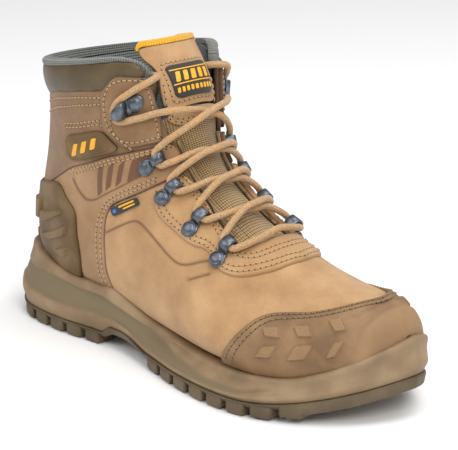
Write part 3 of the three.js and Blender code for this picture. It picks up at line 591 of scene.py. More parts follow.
THROAT = [(9.04, -28.5), (8.45, -25.5), (7.8, -27), (7.25, -31), (6.7, -34), (6.24, -37),
          (6.05, -29), (5.9, -18), (5.87, 0)]
BAND_LOWER = [(9.04, -31.7), (9.27, -47), (9.47, -58), (9.88, -74), (9.74, -81), (9.48, -87),
              (9, -100), (8.42, -125), (8.1, -152)]
BAND_UPPER = [(12.2, -179.4), (11.82, -92), (11.3, -64.5), (10.88, -49.6), (10.44, -34.5), (10.35, -27.3)]
LASTING = 152  # the upper turns under the foot to here
QUARTER_GROOVE = [(9.36, -88), (9, -73), (8.82, -69.6), (8.5, -70), (7.3, -74.6), (6.96, -72.9),
                  (6.53, -57.8)]
QUARTER_DASH = [(6.6, -76), (6.3, -64.5)]
nubuck = leather_hide("waxed_nubuck", "#a07a52", "#b28b60", "#c09a6d", "#6f4e35")
press = [groove(turn(line), 0.9, 0.75, 0.85) for line in (QUARTER_GROOVE, QUARTER_DASH)
         for _, turn in BOTH_SIDES]
cut_panel("vamp_nubuck", unfold(THROAT[::-1] + BAND_LOWER + [(0.04, -LASTING)]), -LEATHER, 0, nubuck,
          features=press, replaces=["vamp"], slot="nubuck", corner=3)

# ---- Seams ----
# Bonded polyester thread in 3 mm stitches. Each stitch dips into its needle hole, where a dark disc paints
# the hole's shade.
THREAD, STITCH, HOLE = 0.85, 3.3, 0.55  # the thread is drawn a little thick, so that it shows


def sewing_thread(name, dark, light):
    thread, shader, place = finish(name, 0.6, Sheen_Weight=0.3)
    ply = add(thread, "TexNoise", Vector=place, Scale=2500.0, Detail=2.0)
    ramp(thread, ply.outputs["Fac"], (0.35, dark), (0.65, light), into=(shader, "Base Color"))
    add(thread, "Bump", (shader, "Normal"), Strength=0.5, Distance=0.0002, Height=ply.outputs["Fac"])
    return thread


pale_thread = sewing_thread("sand_bonded_thread", "#9b7b52", "#cbaa7b")
brown_thread = sewing_thread("brown_bonded_thread", "#5e482e", "#94794f")
# Needle holes: a dark plug at each one is painted shade, the hole's shade coloured in.
hole_painted_shade, shader, place = finish("needle_hole_painted_shade", 1.0)
hole_speckle = add(hole_painted_shade, "TexNoise", Vector=place, Scale=2000.0)
ramp(hole_painted_shade, hole_speckle.outputs["Fac"], (0.3, "#2c2015"), (0.7, "#4b3826"), into=(shader, "Base Color"))


def ring_about(up):
    """Two directions across a normal."""
    first = np.cross(up, [0.3, 0.5, 0.8])
    first /= np.linalg.norm(first)
    return first, np.cross(up, first)


def sew(name, rows, height, thread, body="upper_and_sole", smoothing=3.0, slot="nubuck"):
    """Rows of stitches on a panel's face, on both sides of the boot, and painted-shade discs at the needle
    holes.
    """
    stitch_points, stitch_faces, hole_points, hole_faces = [], [], [], []
    for row in [turn(r) for r in rows for _, turn in BOTH_SIDES]:
        flat = spaced(rounded(table(row), smoothing, False), 0.6, False)
        s, a = flat[:, 0] / STATION_MM, flat[:, 1] / DEGREE_MM
        line = on_last(s, a, value_of(height, s, a))
        run = np.concatenate([[0], np.cumsum(np.linalg.norm(np.diff(line, axis=0), axis=1))])
        count = max(int(run[-1] / STITCH), 1)
        places = np.linspace(0, run[-1], count + 1)
        t = np.array([0.1, 0.25, 0.5, 0.75, 0.9])
        rise = np.array([-0.2, 0.25, 0.42, 0.25, -0.2]) * THREAD
        thick = np.array([0.3, 0.47, 0.5, 0.47, 0.3]) * THREAD
        for k in range(count):
            at = places[k] + (places[k + 1] - places[k]) * t
            at_s, at_a = np.interp(at, run, s), np.interp(at, run, a)
            mid = on_last(at_s, at_a, value_of(height, at_s, at_a) + rise)
            up = skin_normal(at_s, at_a)
            way = mid[-1] - mid[0]
            aside = np.cross(up, way / np.linalg.norm(way))
            around = np.linspace(0, 2 * np.pi, 6, endpoint=False)
            ring = (aside[:, None] * np.cos(around)[None, :, None]
                    + up[:, None] * np.sin(around)[None, :, None]) * thick[:, None, None]
            base = len(stitch_points) * 30
            stitch_points.append((mid[:, None] + ring).reshape(-1, 3))
            stitch_faces += [tuple(v + base for v in f) for f in tube_faces(5, 6)]
        for at in places:
            at_s, at_a = np.interp([at], run, s), np.interp([at], run, a)
            mid = on_last(at_s, at_a, value_of(height, at_s, at_a) + 0.06)[0]
            up = skin_normal(at_s, at_a)[0]
            first, second = ring_about(up)
            around = np.linspace(0, 2 * np.pi, 7, endpoint=False)
            disc = mid + HOLE * (np.outer(np.cos(around), first) + np.outer(np.sin(around), second))
            base = len(hole_points) * 14
            hole_points.append(np.vstack([disc, disc - up * 0.3]))
            hole_faces += [tuple(v + base for v in f) for f in tube_faces(2, 7)]
    for kind, points, faces, material in (("stitches", stitch_points, stitch_faces, thread),
                                          ("needle_holes_painted_shade", hole_points, hole_faces, hole_painted_shade)):
        piece(f"{name}_{kind}", np.vstack(points), faces, material, body=body, slot=slot)


# ---- Toe bumper ----
# A moulded thermoplastic rubber scuff cap, sewn on with two brown rows. Six lozenge studs and a
# raised front section take the knocks on each side.
BUMPER = [(2.62, 0), (2.66, -8), (2.94, -29), (3.43, -46), (4.05, -54), (4.6, -64), (4.9, -84),
          (5.3, -121), (5.6, -150)]


def moulded_rubber(name, dark, middle, light, roughness=0.62, leathery=0.35, grain=1.0):
    """Injection-moulded rubber with a fine leather grain from the tool."""
    rubber, shader, place = finish(name, roughness)
    shader.inputs["Specular IOR Level"].default_value = 0.4
    cloud = add(rubber, "TexNoise", Vector=place, Scale=45.0, Detail=4.0)
    tone = ramp(rubber, cloud.outputs["Fac"], (0.32, dark), (0.5, middle), (0.7, light))
    # Darker towards the panel's edge.
    edge = add(rubber, "Attribute", settings={"attribute_name": "edge"})
    edge_darkening = add(rubber, "MapRange", i0=edge.outputs["Fac"], i1=0.2, i2=1.6, i3=0.45, i4=0.0)
    ended = add(rubber, "Mix", settings={"data_type": "RGBA"}, i0=edge_darkening.outputs[0], i6=tone.outputs[0],
                i7=colour(dark))
    # Lighter on the raised studs.
    raised = add(rubber, "Attribute", settings={"attribute_name": "pressed"})
    lighter = add(rubber, "Math", settings={"operation": "MULTIPLY"}, i0=raised.outputs["Fac"], i1=0.5)
    studs_lightened = add(rubber, "Mix", settings={"data_type": "RGBA"}, i0=lighter.outputs[0],
                 i6=ended.outputs[2], i7=colour(light))
    rubber.node_tree.links.new(studs_lightened.outputs[2], shader.inputs["Base Color"])
    cells = add(rubber, "TexVoronoi", Vector=place, Scale=1000 / grain, settings={
        "feature": "SMOOTH_F1"})
    fine = add(rubber, "TexNoise", Vector=place, Scale=900.0, Detail=3.0)
    both = add(rubber, "Math", settings={"operation": "ADD"}, i0=cells.outputs["Distance"],
               i1=fine.outputs["Fac"])
    add(rubber, "Bump", (shader, "Normal"), Strength=leathery, Distance=0.0003, Height=both.outputs[0])
    return rubber


LOZENGES = [[(4.43, -75.6), (4.04, -70.2), (3.84, -80.5), (4.25, -83.2)],
            [(3.72, -66.4), (3.35, -61.4), (3.12, -72.8), (3.47, -75.8)],
            [(3.03, -51.8), (2.75, -44.9), (2.42, -56.1), (2.69, -62.3)],
            [(4.38, -104.5), (4.23, -91.3), (3.83, -86.8), (3.95, -100.9)],
            [(3.6, -100.7), (3.45, -83.4), (3.0, -78.8), (3.12, -96.3)],
            [(2.7, -93.5), (2.61, -72.6), (2.33, -67), (2.43, -87.7)]]
bumper_rubber = moulded_rubber("scuff_rubber", "#73573a", "#876848", "#9a7a56", leathery=0.35)
studs = [block(turn(z), 2.1, 1.0, ribs=2.2) for z in LOZENGES for _, turn in BOTH_SIDES]
studs.append(block(unfold([(2.0, 0), (2.05, -37), (2.16, -49), (2.02, -71), (2.1, -92), (1.9, -135),
                           (0.2, -140)]), 1.3, 1.6, corner=4))
studs.append(groove([(2.5, -37), (2.38, -20), (2.35, 0), (2.38, 20), (2.5, 37)], 1.5, 0.9, 0.0))
cut_panel("toe_bumper_moulding", unfold(BUMPER + [(0.04, -150)]), 0.05, OVERLAY_TOP, bumper_rubber,
          roll=1.3, pitch=1.9, corner=5, features=studs, replaces=["toe_bumper"], slot="scuff_rubber")
bumper_edge = spaced(rounded(table(BUMPER[:-1]), 6, False), 3, False)
bumper_rows = [[tuple(p) for p in sideways(bumper_edge, -inset) / [STATION_MM, DEGREE_MM] if p[1] <= 0]
               for inset in (2.2, 5.2)]
sew("toe_bumper", bumper_rows, OVERLAY_TOP, brown_thread, slot="scuff_rubber")

# ---- Eyestay ----
# A second layer of nubuck round the throat that carries the four lower loops. Two rows of stitches
# run inside its outer edge, and two more round the foot of the throat.
EYESTAY_EDGE = [(5, 0), (5.15, -29), (5.5, -48), (5.87, -57), (6.3, -57.5), (6.7, -52), (7.07, -58.5),
                (8.5, -58.5), (9.08, -51), (9.2, -47)]


def inside_rows(path, *insets):
    """Lines that keep a distance inside an edge."""
    line = spaced(rounded(table(path), 5, False), 3, False)
    return [[tuple(p) for p in sideways(line, d) / [STATION_MM, DEGREE_MM]] for d in insets]


def outer_half(rows):
    """The part of each row on the outer side, brought to the ridge where it ends."""
    return [[(s, min(a, 0)) for s, a in row if a < 1.5] for row in rows]


skived_nubuck = leather_hide("waxed_nubuck_skived", "#a07a52", "#b28b60", "#c09a6d", "#9c764f")
cut_panel("eyestay_nubuck", unfold(EYESTAY_EDGE + [(8.96, -31.5), (8.96, -28)] + THROAT[1:]), 0.05,
          OVERLAY_TOP, skived_nubuck, pitch=2.0, corner=3, roll=2.3, replaces=["eyestay"], slot="nubuck")
eyestay_rows = inside_rows(EYESTAY_EDGE[:-1], 2.0, 4.8)
throat_rows = inside_rows([(8.9, -28.7), (8.45, -27), (7.8, -28), (7.25, -31.5), (6.75, -35), (6.25, -39.5),
                           (5.9, -36), (5.72, -24), (5.66, 0)], 0.9, 3.3)
sew("eyestay", outer_half(eyestay_rows + throat_rows), OVERLAY_TOP, pale_thread, smoothing=1.0)

# ---- Ankle band ----
# One nubuck band each side, from the throat round behind the ankle and down to the sole, where it
# holds the heel. A laser has burnt the chevron lines into it.


def turned(a):
    return np.abs((np.asarray(a) + 180) % 360 - 180)


def band_top(s, a):
    return BAND_RISE * (1 - smooth(turned(a), 70, 84))


def bar(top, foot, width):
    """A slanting bar of one width on the cutting table."""
    (s0, a0), (s1, a1) = top, foot
    half = width / 2 / DEGREE_MM
    return [(s0, a0 - half), (s0, a0 + half), (s1, a1 + half), (s1, a1 - half)]


BURNT_BARS = [bar((11.22, -70), (10.42, -76.5), 3.6), bar((11.04, -63.8), (10.36, -70.5), 3.6),
              bar((10.84, -57.6), (10.22, -64.6), 3.6),
              [(10.68, -52.5), (10.42, -38), (10.05, -42), (9.86, -50), (10.06, -60)]]
BURNT_LINE = [(11.5, -92), (10.5, -84.8), (10.05, -60.5), (9.9, -51)]
# The ankle bands take a darker copy of the vamp's waxed nubuck; its extra darkness is painted shade.
band_nubuck_painted_shade = leather_hide("waxed_nubuck_ankle_painted_shade", "#8f6d49", "#a07c57", "#af8b64", "#6a4a33")
band_outline = ([(9.9, -24.5), (9.04, -28.5)] + BAND_LOWER + [(9.2, -165), (10.3, -179.4)] + BAND_UPPER)
band_rows = (inside_rows(BAND_UPPER[1:], 1.3, 3.3)
             + inside_rows(BAND_LOWER[1:-1], 2.0, 4.6))
for side, turn in BOTH_SIDES:
    burnt = [block(turn(z), -0.12, 0.35, corner=0.5) for z in BURNT_BARS]
    burnt.append(groove(turn(BURNT_LINE), 0.75, 0.12))
    cut_panel(f"ankle_band_nubuck_{side}", turn(band_outline), -LEATHER, band_top, band_nubuck_painted_shade, corner=2,
              pitch=2.2, features=burnt, replaces=[f"ankle_band_{side}"], slot="nubuck")
sew("ankle_band", band_rows, band_top, pale_thread, smoothing=1.0)

# ---- Rear ankle panel ----
# Nubuck between the ankle band and the collar, in one piece round the back of the heel.
COLLAR_FOOT = [(13.5, -34), (13.55, -65), (13.83, -83), (14.05, -109), (14.1, -180)]
# The rear panel and the eyelet panels take a still darker copy of the vamp's waxed nubuck; its extra darkness
# is painted shade.
shaft_nubuck_painted_shade = leather_hide("waxed_nubuck_shaft_painted_shade", "#77593d", "#876849", "#987858", "#573d29")
rear_outline = unfold(turned_over(COLLAR_FOOT)[::-1] + [(12.8, 32.2), (11.5, 30.4)]
                      + turned_over(BAND_UPPER)[::-1][:-1] + [(12.2, 180)], 180)
cut_panel("rear_panel_nubuck", rear_outline, -LEATHER, 0, shaft_nubuck_painted_shade, corner=2, replaces=["rear_panel"],
          slot="nubuck")
sew("rear_panel", [[(13.33, -66), (13.63, -83), (13.86, -109), (13.92, -178)],
                   [(13.1, -66.5), (13.4, -84), (13.62, -109), (13.7, -178)],
                   [(12.35, -65.5), (12.5, -69), (12.98, -99)],
                   [(12.5, -65), (12.62, -69), (13.12, -101)]], 0, pale_thread)

# ---- Heel counter ----
# Olive moulded rubber cup over the heel. Raised blocks grip when the other foot pulls the boot off.
COUNTER = [(11, 180), (10.5, 165), (9.7, 150), (9.2, 134), (9.6, 110), (10.35, 98), (10.7, 95),
           (11.3, 100), (11.76, 105), (12.15, 130), (12.5, 180)]
HEEL_BLOCKS = [[(11.07, 132), (10.53, 103.6), (10.29, 108.3), (10.67, 124)],
               [(10.35, 122.6), (10.05, 111.5), (9.87, 118), (9.98, 121)],
               [(11.5, 127), (11.1, 106), (10.84, 102), (11.25, 130)],
               [(12.0, 150), (11.72, 125), (11.35, 131), (11.55, 152)],
               [(12.25, 176), (12.1, 158), (11.65, 160), (11.75, 176)],
               [(11.5, 175), (11.4, 157), (11.0, 156), (11.05, 175)],
               [(10.85, 160), (10.75, 140), (10.4, 136), (10.5, 158)]]
olive_rubber = moulded_rubber("olive_rubber", "#57431f", "#6b5434", "#806847", leathery=0.35)
heel_blocks = [block(z, 2.2, 0.8) for shape in HEEL_BLOCKS
               for z in (shape, [(s, 360 - a) for s, a in shape])]
cut_panel("heel_counter_moulding", unfold(COUNTER, 180), 0.05, OVERLAY_TOP, olive_rubber, roll=1.3,
          pitch=2.0, features=heel_blocks,
          replaces=["heel_counter"], slot="counter_rubber")
counter_row = inside_rows([(9.3, 130), (9.6, 110), (10.35, 98), (10.7, 95), (11.3, 100), (11.76, 105)],
                          2.2)
sew("heel_counter", [turned_over(row) for row in counter_row], band_top, brown_thread,
    slot="counter_rubber")

# ---- Side badge ----
# A small olive rubber plate let in behind the eyelet panel, with three slanting printed bars.
BADGE = [(12.78, -98.5), (12.3, -67.5), (11.25, -57), (12, -93)]
BADGE_GROOVE = [(12.6, -95.5), (12.2, -70), (11.45, -61.5), (12.02, -91), (12.6, -95.5)]
yellow_print, shader, place = finish("yellow_print", 0.5)
ink = add(yellow_print, "TexNoise", Vector=place, Scale=700.0, Detail=3.0)
ramp(yellow_print, ink.outputs["Fac"], (0.3, "#d9960f"), (0.6, "#f4b41e"), into=(shader, "Base Color"))
add(yellow_print, "Bump", (shader, "Normal"), Strength=0.2, Distance=0.0002, Height=ink.outputs["Fac"])
for side, turn in BOTH_SIDES:
    cut_panel(f"side_badge_moulding_{side}", turn(BADGE), 0.05, OVERLAY_TOP - 0.5, olive_rubber, corner=3,
              pitch=1.6, replaces=[f"side_badge_{side}"], slot="counter_rubber",
              features=[groove(turn(BADGE_GROOVE), 0.5, 0.35, 0)])
    for k in range(3):
        s, a = 12.36 - 0.085 * k, -88 + 7.0 * k
        printed = [(s, a), (s - 0.06, a + 3.6), (s - 0.36, a + 1.6), (s - 0.3, a - 2)]
        cut_panel(f"badge_bar_{k + 1}_{side}", turn(printed), OVERLAY_TOP - 0.6, OVERLAY_TOP - 0.15,
                  yellow_print, roll=0.25, pitch=0.8, corner=0.5, slot="yellow_webbing")

# ---- Eyelet panel ----
# The top of the facing, nubuck over a stiffener, with the hook riveted in its middle.
EYELET = [(14, -53.5), (13.5, -34.5), (12.8, -32.2), (11.5, -30.5), (10.6, -32.5), (11.2, -54),
          (12.3, -66), (13.47, -65.5)]
# The eyelet panels wear the darker shaft nubuck, which is painted shade.
for side, turn in BOTH_SIDES:
    cut_panel(f"eyelet_panel_nubuck_{side}", turn(EYELET), 0.05, OVERLAY_TOP, shaft_nubuck_painted_shade, corner=1.8,
              pitch=1.9, replaces=[f"eyelet_panel_{side}"], slot="nubuck")
sew("eyelet_panel", inside_rows([(10.75, -34), (11.2, -54), (12.3, -66), (13.47, -65.5), (14, -53.5),
                                 (13.5, -34.8)], 2.0)
    + inside_rows([(11.0, -50), (12.0, -60), (12.6, -60), (13.2, -50)], 0)
    + inside_rows([(10.85, -34.5), (11.5, -33.4), (12.8, -35), (13.5, -37.5)], 0.4),
    OVERLAY_TOP, pale_thread)

# ---- Facing tape ----
# Tan webbing under the throat's edge, woven in a coarse rib.


def woven_cloth(name, dark, light, thread_mm, roughness=0.95, depth=0.5, rib=1.0, sheen=0.3):
    """Plain weave from the cutting table's own millimetres: threads over and under each way."""
    cloth, shader, place = finish(name, roughness, Sheen_Weight=sheen, Sheen_Roughness=0.5)
    shader.inputs["Specular IOR Level"].default_value = 0.2
    cut = add(cloth, "Attribute", settings={"attribute_name": "cut"})
    apart = add(cloth, "SeparateXYZ", Vector=cut.outputs["Vector"])
    waves = []
    for axis, coarse in (("X", 1.0), ("Y", rib)):
        scaled = add(cloth, "Math", settings={"operation": "MULTIPLY"}, i0=apart.outputs[axis],
                     i1=float(np.pi / thread_mm / coarse))
        waves.append(add(cloth, "Math", settings={"operation": "SINE"}, i0=scaled.outputs[0]))
    product = add(cloth, "Math", settings={"operation": "MULTIPLY"}, i0=waves[0].outputs[0],
                  i1=waves[1].outputs[0])
    raised = add(cloth, "Math", settings={"operation": "ABSOLUTE"}, i0=product.outputs[0])
    fuzz = add(cloth, "TexNoise", Vector=place, Scale=900.0, Detail=3.0)
    height = add(cloth, "Math", settings={"operation": "MULTIPLY_ADD"}, i0=fuzz.outputs["Fac"], i1=0.35,
                 i2=raised.outputs[0])
    ramp(cloth, height.outputs[0], (0.15, dark), (0.8, light), into=(shader, "Base Color"))
    add(cloth, "Bump", (shader, "Normal"), Strength=depth, Distance=0.0006, Height=height.outputs[0])
    return cloth


tan_webbing = woven_cloth("tan_webbing", "#5d4a2c", "#a98d62", 1.3, rib=1.6)
FACING_TAPE = [(6.5, -32.5), (7.25, -29), (7.8, -25), (8.45, -23.5), (9.9, -22.5), (10.3, -25),
               (10.3, -20.5), (8.45, -18.5), (7.8, -20), (7.25, -24), (6.5, -27.5)]
for side, turn in BOTH_SIDES:
    cut_panel(f"facing_tape_webbing_{side}", turn(FACING_TAPE), -LEATHER, -0.5, tan_webbing, roll=0.6,
              pitch=1.6, corner=2, replaces=[f"facing_tape_{side}"], slot="tan_webbing")

# ---- Seam tag ----
# A small black woven tag caught in the ankle seam, with two printed yellow lines and a blue drop.
SEAM_TAG = [(9.8, -75.5), (9.41, -60), (9.13, -61.5), (9.5, -77.5)]
black_tag, shader, place = finish("black_damask_tag", 0.7, Sheen_Weight=0.2)
ink = add(black_tag, "TexNoise", Vector=place, Scale=1500.0, Detail=3.0)
ramp(black_tag, ink.outputs["Fac"], (0.3, "#1b1a19"), (0.7, "#33302c"), into=(shader, "Base Color"))
add(black_tag, "Bump", (shader, "Normal"), Strength=0.3, Distance=0.0003, Height=ink.outputs["Fac"])
blue_print, shader, place = finish("blue_print", 0.5)
ink = add(blue_print, "TexNoise", Vector=place, Scale=700.0, Detail=3.0)
ramp(blue_print, ink.outputs["Fac"], (0.3, "#1c5fae"), (0.6, "#2b7bd0"), into=(shader, "Base Color"))
cut_panel("seam_tag_woven", SEAM_TAG, 0.05, 1.7, black_tag, roll=0.3, pitch=1.2, corner=0.8,
          replaces=["seam_tag"], slot="label_rubber")


def tag_place(along, across_share):
    """A place on the tag by its length and its width, both from 0 to 1."""
    a, b, c, d = np.array(SEAM_TAG)
    top = a + (b - a) * along
    foot = d + (c - d) * along
    return tuple(top + (foot - top) * across_share)


for k, (x0, x1, y0, y1) in enumerate([(0.3, 0.88, 0.2, 0.42), (0.42, 0.88, 0.6, 0.78)]):
    printed = [tag_place(x, y) for x, y in ((x0, y0), (x1, y0), (x1, y1), (x0, y1))]
    cut_panel(f"tag_line_{k + 1}", printed, 1.6, 1.85, yellow_print, roll=0.15, pitch=0.9, corner=0.3,
              slot="yellow_webbing")
drop = [tag_place(0.13 + 0.07 * np.cos(t), 0.52 + 0.27 * np.sin(t))
        for t in np.linspace(0, 2 * np.pi, 9)[:-1]]
cut_panel("tag_drop", drop, 1.6, 1.85, blue_print, roll=0.15, pitch=0.8, corner=0.5, slot="label_rubber")

# ---- Lace loops and hooks ----
# Pressed steel with a dark gunmetal coat. A strap leaves its rivet, arches over the lace and comes
# down on the facing; the top hooks are open. Each is clinched by one domed rivet.
gunmetal, shader, place = finish("gunmetal_coated_steel", 0.34, Metallic=0.85)
brush = add(gunmetal, "TexNoise", Vector=place, Scale=260.0, Detail=4.0)
ramp(gunmetal, brush.outputs["Fac"], (0.3, "#4b5058"), (0.55, "#666c75"), (0.75, "#838992"),
     into=(shader, "Base Color"))
add(gunmetal, "MapRange", (shader, "Roughness"), i0=brush.outputs["Fac"], i1=0.3, i2=0.7, i3=0.27, i4=0.45)
scratch = add(gunmetal, "TexNoise", Vector=place, Scale=1400.0, Detail=4.0)
add(gunmetal, "Bump", (shader, "Normal"), Strength=0.12, Distance=0.0002, Height=scratch.outputs["Fac"])
STRAP_WIDTH = 7.4
RIVET_PLATE = 5.0  # radius of the strap's round end


def swept_strip(path, width, thick, s, angle, seat):
    """A metal strip bent along a path (x to the throat, y off the panel), with eased edges."""
    line = spaced(rounded(path, 1.6, False), 0.55, False)
    way = np.gradient(line, axis=0)
    way /= np.linalg.norm(way, axis=1, keepdims=True)
    normal = np.stack([-way[:, 1], way[:, 0]], 1)
    rows = []
    for (x, y), (nx, ny) in zip(line, normal):
        half = width(x, y) / 2
        ring = [(half - 0.35, 0.5), (half, 0.2), (half, -0.2), (half - 0.35, -0.5), (0, -0.5),
                (-half + 0.35, -0.5), (-half, -0.2), (-half, 0.2), (-half + 0.35, 0.5), (0, 0.5)]
        rows.append([(x + nx * k * thick, y + ny * k * thick, z) for z, k in ring])
    rows = np.array(rows)
    per_degree, per_station = scale_at(s, angle)
    towards = -np.sign(angle)
    points = on_last(s + rows[..., 2] / per_station, angle + towards * rows[..., 0] / per_degree,
                     seat + GAP - 0.55 + rows[..., 1])
    faces = tube_faces(len(rows), 10)
    return points.reshape(-1, 3), faces if towards > 0 else [f[::-1] for f in faces]


far = ARCH_FROM + ARCH_SPAN + 2 * STRAP - 0.7
top = ARCH_INNER + STRAP / 2
LOOP_PATH = [(-RIVET_PLATE, 0.7), (ARCH_FROM - 0.4, 0.7), (ARCH_FROM + 0.6, 1.1), (ARCH_FROM + 0.7, 2.6),
             (ARCH_FROM + 1.6, top - 1.1), (ARCH_FROM + 3.4, top), (far - 2.2, top), (far - 0.5, top - 1.3),
             (far, 2.5), (far, 0.1)]
HOOK_PATH = [(5.2, 0.7), (-4.6, 0.7), (-5.8, 1.2), (-6.1, 3.4), (-6.6, 6.3), (-9, 7.1), (-11.6, 6.9),
             (-13.3, 5.6)]


def loop_width(x, y):
    """Round about the rivet, then one width over the arch."""
    if y >= 1.0:
        return STRAP_WIDTH
    return max(2 * np.sqrt(max(RIVET_PLATE ** 2 - x * x, 0.6)), 0 if x < 2 else STRAP_WIDTH)


def hook_width(x, y):
    """Round about the rivet, then drawn in to the hook's lip."""
    if y < 1.1 and x > 0:
        return 2 * np.sqrt(max(5.4 ** 2 - min(x, 5.3) ** 2, 1))
    return 10.6 - 0.35 * abs(x + 4) if x > -8 else 9.2 - 0.55 * (-8 - x) ** 1.3


for name, s, a, seat in HARDWARE:
    path, width = (HOOK_PATH, hook_width) if name == "lace_hook" else (LOOP_PATH, loop_width)
    for side, sign in SIDES:
        angle = -sign * a
        points, faces = swept_strip(path, width, STRAP, s, angle, seat)
        piece(f"{name}_strap_{side}", points, faces, gunmetal, replaces=[f"{name}_{side}"], slot="gunmetal")
        # rivet: shank, washer ring and dome, turned about the panel's normal
        up = skin_normal(s, angle)
        first = np.cross(up, [0.2, 0.3, 0.9])
        first /= np.linalg.norm(first)
        second = np.cross(up, first)
        base = seat + GAP + STRAP - 0.3
        profile = [(1.7, -LEATHER), (1.7, base), (4.3, base), (4.55, base + 0.25), (4.5, base + 0.55),
                   (4.1, base + 0.75), (3.95, base + 0.68), (3.7, base + 1.0), (3.1, base + 1.45),
                   (2.2, base + 1.75), (1.1, base + 1.9), (0.15, base + 1.93)]
        around = np.linspace(0, 2 * np.pi, 32, endpoint=False)
        circle = np.outer(np.cos(around), first) + np.outer(np.sin(around), second)
        rings = [skin(s, angle) + up * h + r * circle for r, h in profile]
        rivet = name.replace("lace", "rivet")
        piece(f"{rivet}_dome_{side}", np.vstack(rings), tube_faces(len(profile), 32), gunmetal,
              replaces=[f"{rivet}_{side}"], slot="gunmetal")

# ---- Tongue base ----
# Coarse woven polyester over thin foam, folded at each side into the gussets that keep water out.
tongue_cloth = woven_cloth("tongue_weave", "#5f4a29", "#c2a271", 1.7, rib=1.0, depth=1.0)
TONGUE_FRONT = -LEATHER - GAP - 0.2


def tongue_swell(s, a):
    """The tongue puffs out between the crossings of the lace and dips at its sides."""
    dome = 1 - smooth(np.abs(a), 4, 24)
    wave = 0.5 - 0.5 * np.cos((np.asarray(s) - 6.6) * 2 * np.pi / 1.32)
    return TONGUE_FRONT + dome * 1.1 * wave - 0.5 * np.exp(-((np.abs(a) - 17) / 2.2) ** 2)


TONGUE_BASE = unfold([(5.5, 0), (5.5, -14), (5.95, -26), (6.3, -37), (11.4, -37), (11.4, 0)])
cut_panel("tongue_base_cloth", TONGUE_BASE, TONGUE_FRONT - 4, tongue_swell, tongue_cloth, pitch=2.2,
          replaces=["tongue_base"], slot="tan_webbing",
          features=[groove([(5.9, a), (8, a * 1.02), (11.3, a)], 0.9, 0.7, 0) for a in (-20, 20)])
knit_lining = woven_cloth("grey_mesh_knit", "#3f423f", "#8a8d86", 1.5, depth=0.8, rib=0.8)
for side, sign in SIDES:
    cut_panel(f"tongue_gusset_fold_{side}", [(6.35, sign * 38.5), (11.2, sign * 38.5),
                                             (11.2, sign * 45), (6.35, sign * 45)],
              TONGUE_FRONT - 1.8, TONGUE_FRONT, knit_lining, pitch=3, corner=1, roll=0.6,
              replaces=[f"tongue_gusset_{side}"], slot="grey_textile")

# ---- Tongue top ----
# A foam pad behind a nubuck patch. The free top folds on the line where the patch begins, and a
# yellow tape binds its upper edge.
FOLD = 11.45
TONGUE_HALF = [(FOLD + 0.08, -28), (12.8, -27), (13.4, -25), (13.9, -27), (14.5, -33),
               (15.05, -37), (15.36, -34), (15.42, 0)]
PATCH, PAD_FRONT, PAD_DEPTH, LABEL = 1.2, 1.8, 6.5, 1.0


def tongue_layer(depth, dome=0.0):
    def height(s, a):
        s = np.asarray(s, float)
        return (TONGUE_FRONT - depth - 11 * smooth(s, 12, 16) ** 0.9
                + dome * (1 - smooth(np.abs(a), 6, 30)) * smooth(s, FOLD, 12.4))
    return height


pad_foam, shader, place = finish("laminated_foam", 0.95, Sheen_Weight=0.2)
cells = add(pad_foam, "TexVoronoi", Vector=place, Scale=1300.0)
ramp(pad_foam, cells.outputs["Distance"], (0.1, "#4f524e"), (0.6, "#7d807a"), into=(shader, "Base Color"))
add(pad_foam, "Bump", (shader, "Normal"), Strength=0.5, Distance=0.0005, Height=cells.outputs["Distance"])
tongue_pad = cut_panel("tongue_pad_cloth", unfold([(FOLD + 0.08, 0)] + TONGUE_HALF),
                       tongue_layer(PAD_FRONT + PAD_DEPTH), tongue_layer(PAD_FRONT, 0.5), knit_lining,
                       roll=2.2, pitch=2.4, corner=4, body="tongue_top", replaces=["tongue_top_pad"],
                       slot="soft_foam")
patch_outline = unfold([(FOLD + 0.12, 0), (FOLD + 0.12, -27)] + TONGUE_HALF[1:])
LABEL_EDGE = [(12.02, 0), (12.02, -17), (13.85, -19), (13.85, 0)]
cut_panel("tongue_patch_nubuck", patch_outline, tongue_layer(PATCH + 0.5), tongue_layer(0, 0.5), nubuck,
          pitch=2.0, corner=6, body="tongue_top", replaces=["tongue_patch"], slot="nubuck")
sew("tongue_patch", [[(12.8, -24), (11.6, -25)],
                     [(11.86, 0), (11.86, -17), (11.95, -19.4), (13.82, -21.6), (14.02, -19), (14.03, 0)]],
    tongue_layer(0, 0.5), pale_thread, body="tongue_top")
cut_panel("tongue_label_moulding", unfold(LABEL_EDGE), tongue_layer(0.2, 0.5),
          tongue_layer(-0.3 - LABEL, 0.5), black_tag, roll=0.7, pitch=1.6, corner=3, body="tongue_top",
          replaces=["tongue_label"], slot="label_rubber")


def label_bar(name, s0, s1, a0, a1, slant=0.0):
    cut_panel(name, [(s0, a0), (s0, a1), (s1, a1 + slant), (s1, a0 + slant)], tongue_layer(-1.1, 0.5),
              tongue_layer(-1.6, 0.5), yellow_print, roll=0.2, pitch=0.9, corner=0.5, body="tongue_top",
              slot="yellow_webbing")


label_bar("label_rule_upper", 13.55, 13.47, -17.2, 17.2)
label_bar("label_rule_lower", 12.72, 12.66, -17.2, 17.2)
for k in range(5):
    label_bar(f"label_chevron_{k + 1}", 12.8, 13.38, -14.5 + 6.2 * k, -10.9 + 6.2 * k, 1.6)
for k in range(9):
    label_bar(f"label_dash_{k + 1}", 12.28, 12.53, -15.2 + 3.5 * k, -13.0 + 3.5 * k, 0.3)
